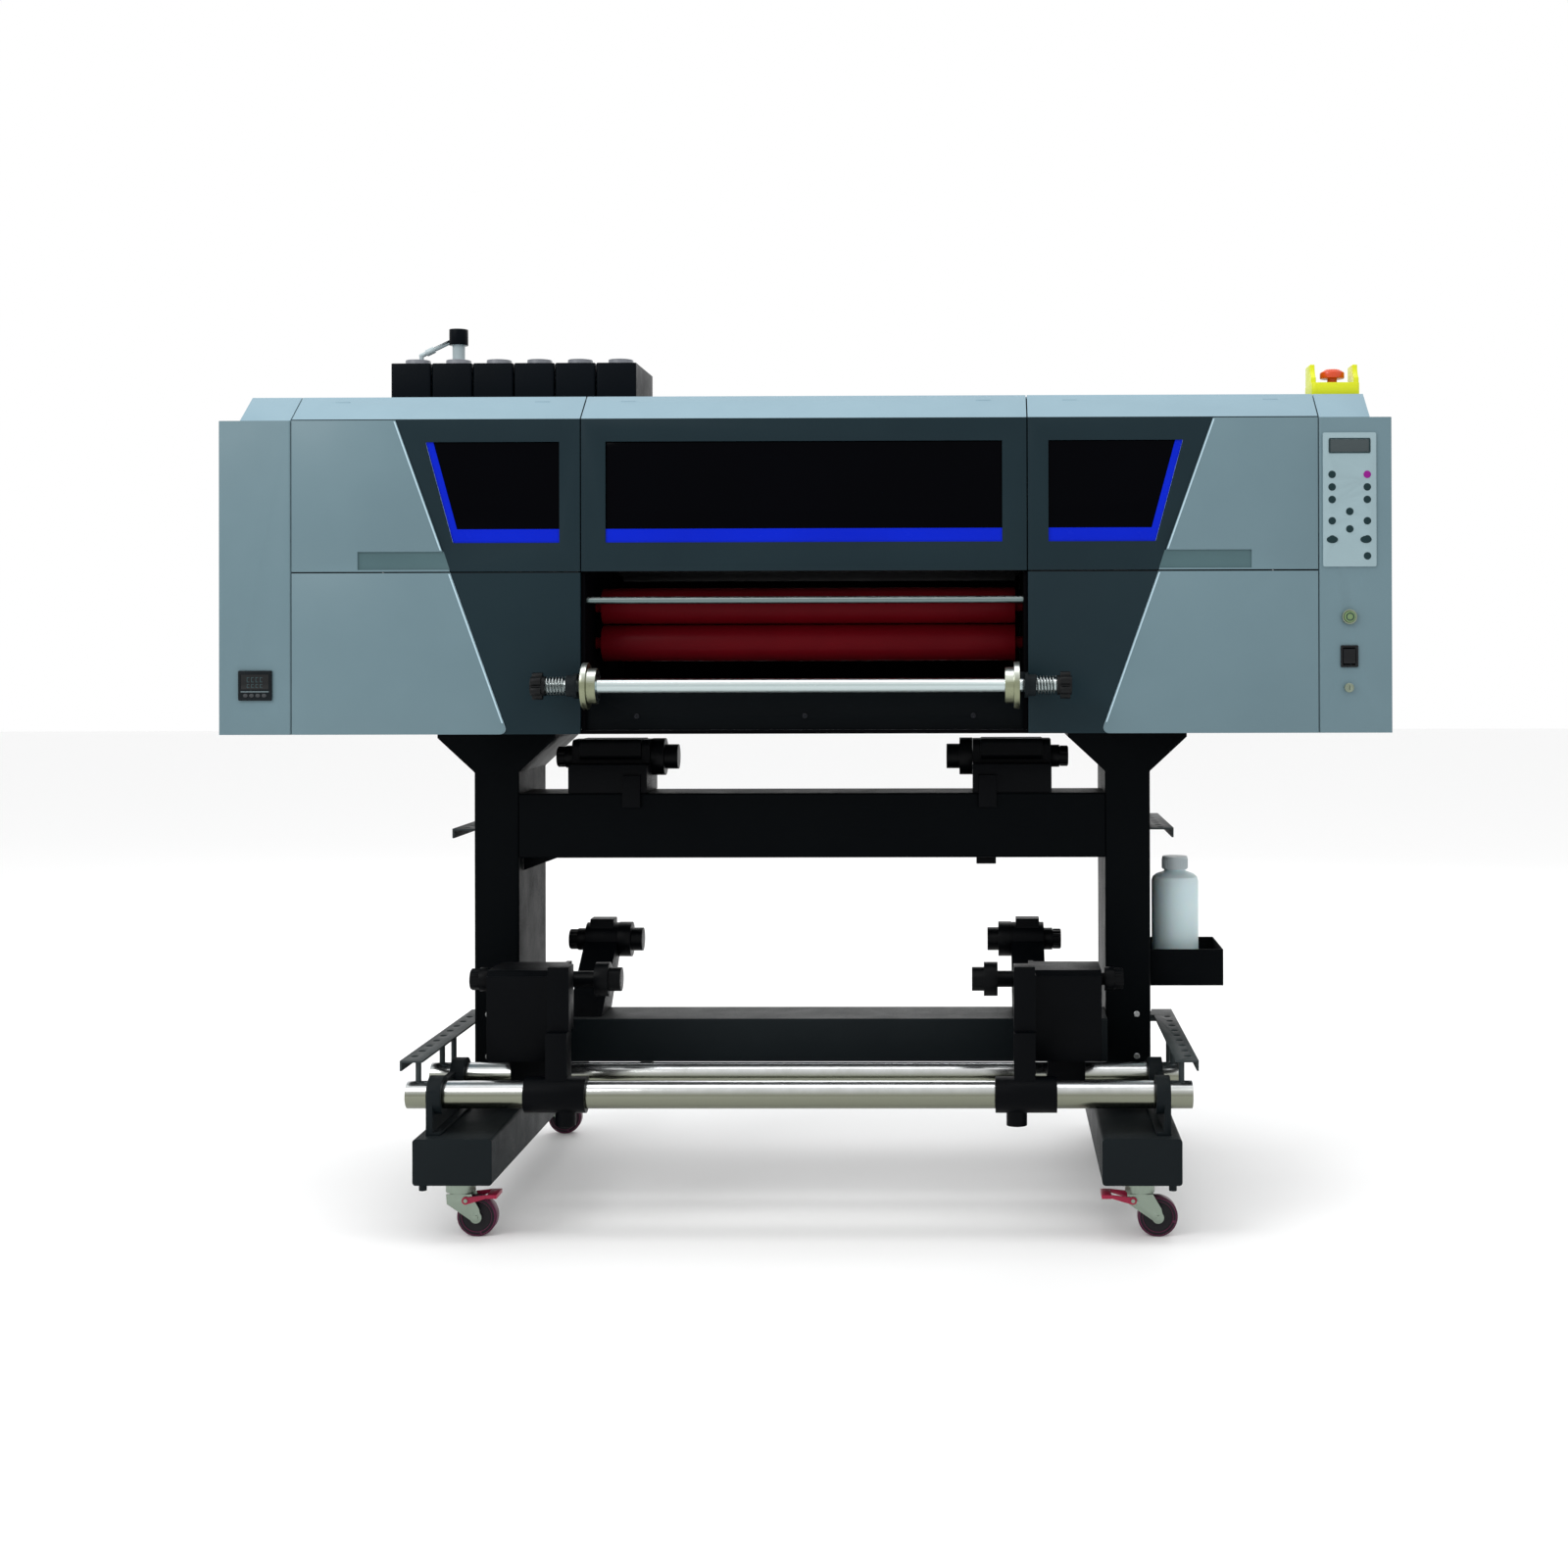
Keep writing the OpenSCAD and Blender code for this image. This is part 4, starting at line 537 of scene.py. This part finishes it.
def slantHighlightStrips():
    # A thin light strip along the slanted edge of each light field: a painted highlight for the light caught on the
    # chamfer
    w = slantHighlightWork
    seamX, bay = coverHigh.x + 0.001, centreHigh.x + 0.001
    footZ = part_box("end_cabinets")[0].z + w["footRise"]
    lean = (seamX - w["topIn"] - bay - w["footOut"]) / (headTop - footZ)
    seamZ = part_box("lower_panels")[1].z
    for side, sign in (("left", -1), ("right", 1)):
        for part, node, low, high in (("lower", "lower_panels", footZ + 0.004, seamZ - 0.002),
                                      ("upper", side + "_cover", coverLow.z + 0.034, headTop - 0.002)):
            outline = [(bay + w["footOut"] + lean * (z - footZ) + step, z) for z, step in (
                (low, 0.0008), (high, 0.0008), (high, 0.0008 + w["wide"]), (low, 0.0008 + w["wide"]))]
            platePiece("%s_%s_trim" % (side, part), [(sign * x, z) for x, z in outline], frontY + 0.0001,
                       w["proud"] + 0.0001, bodyOf[node], "paintedHighlightEdge", 0.0)


slantHighlightStrips()


def windowBands():
    w = windowWork
    low = coverLow.z + w["rise"]
    high = low + w["height"]
    bandTop = low + w["bandHeight"]
    bay = centreHigh.x + 0.001
    lean = (w["sideTop"] - w["sideFoot"]) / w["height"]
    for name, sign in (("left_cover", -1), ("right_cover", 1)):
        inner = bay + w["sideMargin"]
        foot = inner + w["sideFoot"]
        outline = [(inner, low), (foot, low), (foot + lean * (high - low), high),
                   (foot + lean * (high - low) - w["bandEdge"], high),
                   (foot + lean * (bandTop - low) - w["bandEdge"], bandTop), (inner, bandTop)]
        platePiece(name + "_band", [(sign * x, z) for x, z in outline], paneFront - 0.0001, w["bandThick"], name,
                   "blueBand")
    half = centreHigh.x + 0.001 - w["centreMargin"]
    platePiece("centre_cover_band", [(-half, low), (half, low), (half, bandTop), (-half, bandTop)],
               paneFront - 0.0001, w["bandThick"], "centre_cover", "blueBand")


windowBands()


# Smaller regions of colour on the keypad, shaft, wheels, tanks and switches
keypadLow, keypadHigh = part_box("keypad")
keypadWork = {"purpleX": 0.0705, "purpleZ": 0.147, "displayTop": 0.034, "keyStep": 0.00028}


def isRaised(centre):
    return centre.y < keypadLow.y + keypadWork["keyStep"]


paintFaces(trimmed["keypad"], "keyDark", lambda c, n: isRaised(c))
paintFaces(trimmed["keypad"], "displayGlass", lambda c, n: isRaised(c) and c.z > keypadHigh.z - keypadWork["displayTop"])
paintFaces(trimmed["keypad"], "keyPurple", lambda c, n: isRaised(c) and math.hypot(
    c.x - keypadLow.x - keypadWork["purpleX"], c.z - keypadLow.z - keypadWork["purpleZ"]) < 0.008)

shaftWork = {"flange": 0.0125}  # faces further than this from the axis are the flanges
shaftLow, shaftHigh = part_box("film_shaft")
shaftZ = (shaftLow.z + shaftHigh.z) / 2
shaftY = (shaftLow.y + shaftHigh.y) / 2
paintFaces(trimmed["film_shaft"], "flangeAlloy",
           lambda c, n: math.hypot(c.y - shaftY, c.z - shaftZ) > shaftWork["flange"])
treadFrom = 0.74  # share of the wheel radius where the tread starts
for corner in ("fl", "fr", "rl", "rr"):
    wheelLow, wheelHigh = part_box("wheel_" + corner)
    midX, radius = (wheelLow.x + wheelHigh.x) / 2, (wheelHigh.x - wheelLow.x) / 2
    paintFaces(trimmed["wheel_" + corner], "wheelTread",
               lambda c, n: math.hypot(c.x - midX, c.z - radius) > radius * treadFrom)
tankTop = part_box("ink_tanks")[1].z
tankWork = {"cap": 0.0108, "neck": 0.0275}
paintFaces(trimmed["ink_tanks"], "capGrey", lambda c, n: c.z > tankTop - tankWork["cap"])
paintFaces(trimmed["ink_stirrer"], "neckPlastic", lambda c, n: c.z < tankTop + tankWork["neck"])

rollerY = (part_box("lower_roller")[0].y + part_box("lower_roller")[1].y) / 2
# painted shade: the chassis inside the head, around and behind the rollers, is painted near-black
paintFaces(trimmed["chassis"], "innerBlack", lambda c, n: abs(c.x) < 0.37 and c.y < rollerY + 0.16)
pullWork = {"rise": 0.034, "inner": 0.500, "lean": 0.38}
inletWork = {"rise": 0.070, "body": 0.030, "pinFace": 0.0125, "pinReach": 0.0095, "rockerReach": 0.022}
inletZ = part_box("end_cabinets")[0].z + inletWork["rise"]
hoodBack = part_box("top_hood")[1].y
# painted shade: the hood's inside back wall and underside are painted near-black
paintFaces(trimmed["top_hood"], "innerBlack", lambda c, n: (n.y < -0.5 and c.y > hoodBack - 0.012) or
           (n.z < -0.5 and c.y > rollerY and c.z > headTop - 0.02))
controlX = (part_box("power_switch")[0].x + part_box("power_switch")[1].x) / 2
rockerZ = (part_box("power_switch")[0].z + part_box("power_switch")[1].z) / 2
paintFaces(trimmed["switch_bezels"], "switchPlastic", lambda c, n: abs(c.z - rockerZ) < inletWork["rockerReach"])
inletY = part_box("end_cabinets")[1].y
paintFaces(trimmed["switch_bezels"], "switchPlastic", lambda c, n: c.y > inletY - inletWork["body"])
paintFaces(trimmed["switch_bezels"], "screwZinc", lambda c, n:
           inletY - inletWork["pinFace"] < c.y < inletY + 0.0005 and
           math.hypot(c.x - controlX, c.z - inletZ) < inletWork["pinReach"])
for side, sign in (("left_cover", -1), ("right_cover", 1)):
    pull = coverLow.z + pullWork["rise"]
    # painted shade: the floor of each grip recess takes a darker copy of the light paint
    paintFaces(trimmed[side], "shadedRecessPaint", lambda c, n: c.z < pull and n.y < -0.5 and
               frontY + 0.0028 < c.y < frontY + 0.006 and
               sign * c.x > pullWork["inner"] + (c.z - coverLow.z) * pullWork["lean"])
    # painted highlight on the side walls of the covers' light fields
    paintFaces(trimmed[side], "paintedHighlightEdge", lambda c, n: isHighlightedFieldEdge(c, n) and sign * n.x < -0.5)
# painted highlight on the side walls of the lower panels' light fields
paintFaces(trimmed["lower_panels"], "paintedHighlightEdge", lambda c, n: isHighlightedFieldEdge(c, n) and c.x * n.x < 0)
print("skins and colours done")


# Springs, screws and small fittings
def pieceFromMesh(name, body, finish, angle=32):
    piece = bpy.context.object
    piece.name = name
    bpy.ops.object.transform_apply(location=True, rotation=True, scale=True)
    smoothByAngle(piece, angle)
    return finishPiece(piece, body, finish)


springWork = {"coils": 6, "outer": 0.0152, "wire": 0.0011, "length": 0.0315, "turnSteps": 28}


def tensionCoils():
    # A ring of wire wound along X by a screw modifier, once for each end of the shaft
    w = springWork
    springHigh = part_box("tension_springs")[1].x
    coils = []
    for sign in (-1, 1):
        bpy.ops.object.select_all(action="DESELECT")
        bpy.ops.mesh.primitive_circle_add(vertices=10, radius=w["wire"], location=(0, 0, w["outer"] - w["wire"]),
                                          rotation=(math.pi / 2, 0, 0))
        coil = bpy.context.object
        bpy.ops.object.transform_apply(location=True, rotation=True, scale=True)
        wind = coil.modifiers.new("wind", "SCREW")
        wind.axis = "X"
        wind.iterations = w["coils"]
        wind.screw_offset = (w["length"] - 2 * w["wire"]) / w["coils"]
        wind.steps = w["turnSteps"]
        wind.render_steps = w["turnSteps"]
        bpy.ops.object.modifier_apply(modifier=wind.name)
        bpy.ops.object.mode_set(mode="EDIT")
        bpy.ops.mesh.select_all(action="SELECT")
        bpy.ops.mesh.fill_holes(sides=0)
        bpy.ops.mesh.select_all(action="SELECT")
        bpy.ops.mesh.normals_make_consistent(inside=False)
        bpy.ops.object.mode_set(mode="OBJECT")
        start = springHigh - w["length"] + w["wire"] if sign > 0 else -springHigh + w["wire"]
        coil.location = (start, shaftY, shaftZ)
        bpy.ops.object.transform_apply(location=True, rotation=True, scale=True)
        coils.append(coil)
    bpy.ops.object.select_all(action="DESELECT")
    for coil in coils:
        coil.select_set(True)
    bpy.context.view_layer.objects.active = coils[0]
    bpy.ops.object.join()
    piece = pieceFromMesh("tension_coils", bodyOf["tension_springs"], "springSteel", 60)
    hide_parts("tension_springs")


tensionCoils()

turnOf = {"front": (math.pi / 2, 0, 0), "back": (-math.pi / 2, 0, 0)}


def screwSet(name, heads, radius, height, facing, body, finish):
    # One domed head with a sunk socket, copied to each place
    bpy.ops.object.select_all(action="DESELECT")
    bpy.ops.mesh.primitive_cylinder_add(vertices=18, radius=radius, depth=height)
    head = bpy.context.object
    bpy.ops.object.mode_set(mode="EDIT")
    bpy.ops.mesh.select_all(action="DESELECT")
    bpy.ops.object.mode_set(mode="OBJECT")
    for face in head.data.polygons:
        face.select = face.normal.z > 0.9
    bpy.ops.object.mode_set(mode="EDIT")
    bpy.ops.mesh.select_mode(type="FACE")
    bpy.ops.mesh.inset(thickness=radius * 0.16)
    bpy.ops.transform.translate(value=(0, 0, height * 0.22))
    bpy.ops.mesh.inset(thickness=radius * 0.30)
    bpy.ops.mesh.extrude_region_move(TRANSFORM_OT_translate={"value": (0, 0, -height * 0.55)})
    bpy.ops.object.mode_set(mode="OBJECT")
    head.rotation_euler = turnOf[facing]
    bpy.ops.object.transform_apply(location=True, rotation=True, scale=True)
    heads = list(heads)
    for place in heads[1:]:
        bpy.ops.object.select_all(action="DESELECT")
        head.select_set(True)
        bpy.context.view_layer.objects.active = head
        bpy.ops.object.duplicate()
        bpy.context.object.location = place
        bpy.context.object.name = name + "_copy"
    copies = [obj for obj in bpy.data.objects if obj.name.startswith(name + "_copy")]
    head.location = heads[0]
    bpy.ops.object.select_all(action="DESELECT")
    for copy in copies + [head]:
        copy.select_set(True)
        bpy.context.view_layer.objects.active = head
    if copies:
        bpy.ops.object.join()
    return pieceFromMesh(name, body, finish, 40)


apronLow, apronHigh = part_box("apron")
cabinetLow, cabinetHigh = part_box("end_cabinets")
screwWork = {
    "apron": ((-0.77, 0, 0.77), 0.028, 0.0042, 0.0022), "leg": ((0.014,), (0.230, 0.300), 0.0050, 0.0034),
    "rear": (0.014, 0.0045, 0.0024), "cabinetWide": 0.117, "legFront": -0.100, "legInset": 0.027,
}
apronSteps, apronRise, apronRadius, apronHeight = screwWork["apron"]
screwSet("apron_screws", [(apronHigh.x * step, apronLow.y, cabinetLow.z + apronRise) for step in apronSteps],
         apronRadius, apronHeight, "front", bodyOf["apron"], "screwBlack")
legX = (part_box("wheel_fr")[0].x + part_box("wheel_fr")[1].x) / 2 - screwWork["legInset"]
legScrewX, legScrewZ, legRadius, legHeight = (screwWork["leg"][0][0], *screwWork["leg"][1:])
screwSet("leg_screws", [(sign * (legX + legScrewX), screwWork["legFront"] - 0.0008, z) for sign in (-1, 1)
                        for z in legScrewZ], legRadius, legHeight, "front", bodyOf["legs"], "screwZinc")
edgeIn, rearRadius, rearHeight = screwWork["rear"]
rearPlaces = [(sign * x, cabinetHigh.y + 0.0010, z) for sign in (-1, 1)
              for x in (cabinetHigh.x - edgeIn, cabinetHigh.x - screwWork["cabinetWide"] + edgeIn)
              for z in (cabinetLow.z + edgeIn, (cabinetLow.z + cabinetHigh.z) / 2, cabinetHigh.z - edgeIn)]
screwSet("cabinet_screws", rearPlaces, rearRadius, rearHeight, "back", bodyOf["end_cabinets"], "screwBlack")
print("springs and screws done")


def ovalOutline(x, z, width, height, count=24):
    return [(x + width / 2 * math.cos(turn * 2 * math.pi / count), z + height / 2 * math.sin(turn * 2 * math.pi / count))
            for turn in range(count)]


def framePiece(name, outline, width, y, thick, body, finish):
    # A flat ring: the outline's middle is inset and taken out, and what is left gets its thickness
    bpy.ops.object.select_all(action="DESELECT")
    bpy.ops.mesh.primitive_circle_add(vertices=len(outline), radius=0.1, fill_type="NGON")
    ring = bpy.context.object
    ring.name = name
    for vertex, (x, z) in zip(ring.data.vertices, outline):
        vertex.co = (x, y, z)
    bpy.ops.object.mode_set(mode="EDIT")
    bpy.ops.mesh.select_mode(type="FACE")
    bpy.ops.mesh.select_all(action="SELECT")
    bpy.ops.mesh.inset(thickness=width, use_even_offset=True)
    bpy.ops.mesh.delete(type="FACE")
    bpy.ops.mesh.select_all(action="SELECT")
    bpy.ops.mesh.extrude_region_move(TRANSFORM_OT_translate={"value": (0, -thick, 0)})
    bpy.ops.mesh.select_all(action="SELECT")
    bpy.ops.mesh.normals_make_consistent(inside=False)
    bpy.ops.object.mode_set(mode="OBJECT")
    smoothByAngle(ring)
    return finishPiece(ring, body, finish)


ovalKeys = {"across": (0.0146, 0.0682), "up": 0.0431, "size": (0.018, 0.0115), "thick": 0.0004}
for number, across in enumerate(ovalKeys["across"]):
    platePiece("wide_key_%d" % (number + 1), ovalOutline(keypadLow.x + across, keypadLow.z + ovalKeys["up"],
               *ovalKeys["size"]), keypadLow.y + 0.00030, ovalKeys["thick"] + 0.0003, bodyOf["keypad"], "keyDark",
               0.0001)
framePiece("display_frame", [(keypadLow.x + 0.010, keypadHigh.z - 0.009), (keypadHigh.x - 0.010, keypadHigh.z - 0.009),
           (keypadHigh.x - 0.010, keypadHigh.z - 0.033), (keypadLow.x + 0.010, keypadHigh.z - 0.033)], 0.0016,
           keypadLow.y + 0.0002, 0.0006, bodyOf["keypad"], "keyDark")

meterLow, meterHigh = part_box("temp_controller")
meterWork = {"edge": 0.0045, "glassHigh": 0.024, "glassDrop": 0.006, "keys": 4, "key": (0.0075, 0.0060), "gap": 0.0100}


def meterFace():
    w = meterWork
    midX = (meterLow.x + meterHigh.x) / 2
    top = meterHigh.z - w["glassDrop"]
    left, right = meterLow.x + w["edge"], meterHigh.x - w["edge"]
    platePiece("meter_glass", [(left, top), (right, top), (right, top - w["glassHigh"]), (left, top - w["glassHigh"])],
               meterLow.y + 0.0002, 0.0006, bodyOf["temp_controller"], "meterGlass", 0.0002)
    framePiece("meter_frame", [(left - 0.001, top + 0.001), (right + 0.001, top + 0.001),
               (right + 0.001, top - w["glassHigh"] - 0.001), (left - 0.001, top - w["glassHigh"] - 0.001)], 0.0010,
               meterLow.y + 0.0002, 0.0010, bodyOf["temp_controller"], "meterPlastic")
    line = top - w["glassHigh"] - 0.0032
    platePiece("meter_line", [(left, line), (right, line), (right, line - 0.0011), (left, line - 0.0011)],
               meterLow.y + 0.0002, 0.0005, bodyOf["temp_controller"], "meterKeys", 0.0001)
    for number in range(w["keys"]):
        x = midX + (number - (w["keys"] - 1) / 2) * w["gap"]
        z = line - 0.0066
        platePiece("meter_key_%d" % (number + 1), ovalOutline(x, z, *w["key"], count=16), meterLow.y + 0.0002, 0.0008,
                   bodyOf["temp_controller"], "capStation", 0.0002)
    for row, high in ((0.0045, 0.0080), (0.0155, 0.0060)):
        for digit in range(4):
            x, z = midX - 0.0105 + digit * 0.0070, top - row
            platePiece("meter_digit_%d_%d" % (int(row * 10000), digit + 1), [(x - 0.0020, z), (x + 0.0020, z),
                       (x + 0.0020, z - 0.0010), (x - 0.0010, z - 0.0010), (x - 0.0010, z - high + 0.0010),
                       (x + 0.0020, z - high + 0.0010), (x + 0.0020, z - high), (x - 0.0020, z - high)],
                       meterLow.y - 0.0003, 0.0002, bodyOf["temp_controller"], "meterDigits")


meterFace()
startLow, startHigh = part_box("start_button")
framePiece("start_ring", ovalOutline((startLow.x + startHigh.x) / 2, (startLow.z + startHigh.z) / 2, 0.0130, 0.0130, 32),
           0.0014, startLow.y + 0.0002, 0.0007, "start_button", "keyDark")


def doorSeals():
    # Foam strip on the top edge of each lower panel, under the cover; it fills the seam gap in dark rubber, so it is
    # partly a seal and partly painted shade in the seam
    for name, sign in (("left", -1), ("right", 1)):
        inner, outer = centreHigh.x + 0.004, coverHigh.x - 0.004
        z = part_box("lower_panels")[1].z
        platePiece(name + "_door_seal", [(sign * inner, z - 0.0002), (sign * outer, z - 0.0002),
                   (sign * outer, z + 0.0008), (sign * inner, z + 0.0008)], frontY + 0.0052, 0.0020,
                   bodyOf["lower_panels"], "seamShadeRubber", 0.0002)


doorSeals()

# painted shade by height: the lower crossbar takes the lighter stand coat, the upper bars keep the darker copy
paintFaces(trimmed["crossbars"], "standCoat", lambda c, n: c.z < 0.4)
standWork = {
    "gusset": ((-0.4895, 0), (-0.425, 0), (-0.4895, -0.024)), "block": (0.275, 0.308, 0.0135),
    "lever": ((-0.318, 0.250), (-0.302, 0.2525), (-0.256, 0.214), (-0.246, 0.201), (-0.262, 0.203), (-0.310, 0.242)),
}


def standFittings():
    w = standWork
    upperUnder = min(vertex.co.z for vertex in trimmed["crossbars"].data.vertices if vertex.co.z > 0.45)
    platePiece("bar_gusset", [(x, upperUnder + rise) for x, rise in w["gusset"]], -0.060, 0.006, bodyOf["crossbars"],
               "legCoat", 0.0006)
    left, right, high = w["block"]
    platePiece("sensor_block", [(left, upperUnder), (right, upperUnder), (right, upperUnder - high),
               (left, upperUnder - high)], -0.040, 0.030, bodyOf["crossbars"], "holderMould",
               0.0012)
    platePiece("bar_lever", list(w["lever"]), -0.102, 0.008, bodyOf["crossbars"], "holderMould",
               0.0012)


standFittings()


def capRibs():
    # A closed sleeve just outside the cap, with every second side face pushed out as a rib
    capLow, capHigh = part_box("bottle_cap")
    x, y, radius = (capLow.x + capHigh.x) / 2, (capLow.y + capHigh.y) / 2, (capHigh.x - capLow.x) / 2
    bpy.ops.object.select_all(action="DESELECT")
    bpy.ops.mesh.primitive_cylinder_add(vertices=84, radius=radius + 0.0002, depth=capHigh.z - capLow.z - 0.006,
                                        location=(x, y, (capLow.z + capHigh.z) / 2 - 0.0012))
    ribs = bpy.context.object
    bpy.ops.object.mode_set(mode="EDIT")
    bpy.ops.mesh.select_mode(type="FACE")
    bpy.ops.mesh.select_all(action="DESELECT")
    bpy.ops.object.mode_set(mode="OBJECT")
    for number, face in enumerate(sorted((f for f in ribs.data.polygons if abs(f.normal.z) < 0.5),
                                         key=lambda f: math.atan2(f.center.y, f.center.x))):
        face.select = number % 2 == 0
    bpy.ops.object.mode_set(mode="EDIT")
    bpy.ops.mesh.extrude_faces_move(TRANSFORM_OT_shrink_fatten={"value": 0.0007})
    bpy.ops.object.mode_set(mode="OBJECT")
    pieceFromMesh("cap_ribs", "bottle_cap", "capPlastic", 25)


capRibs()
print("controls, seals and small fittings done")
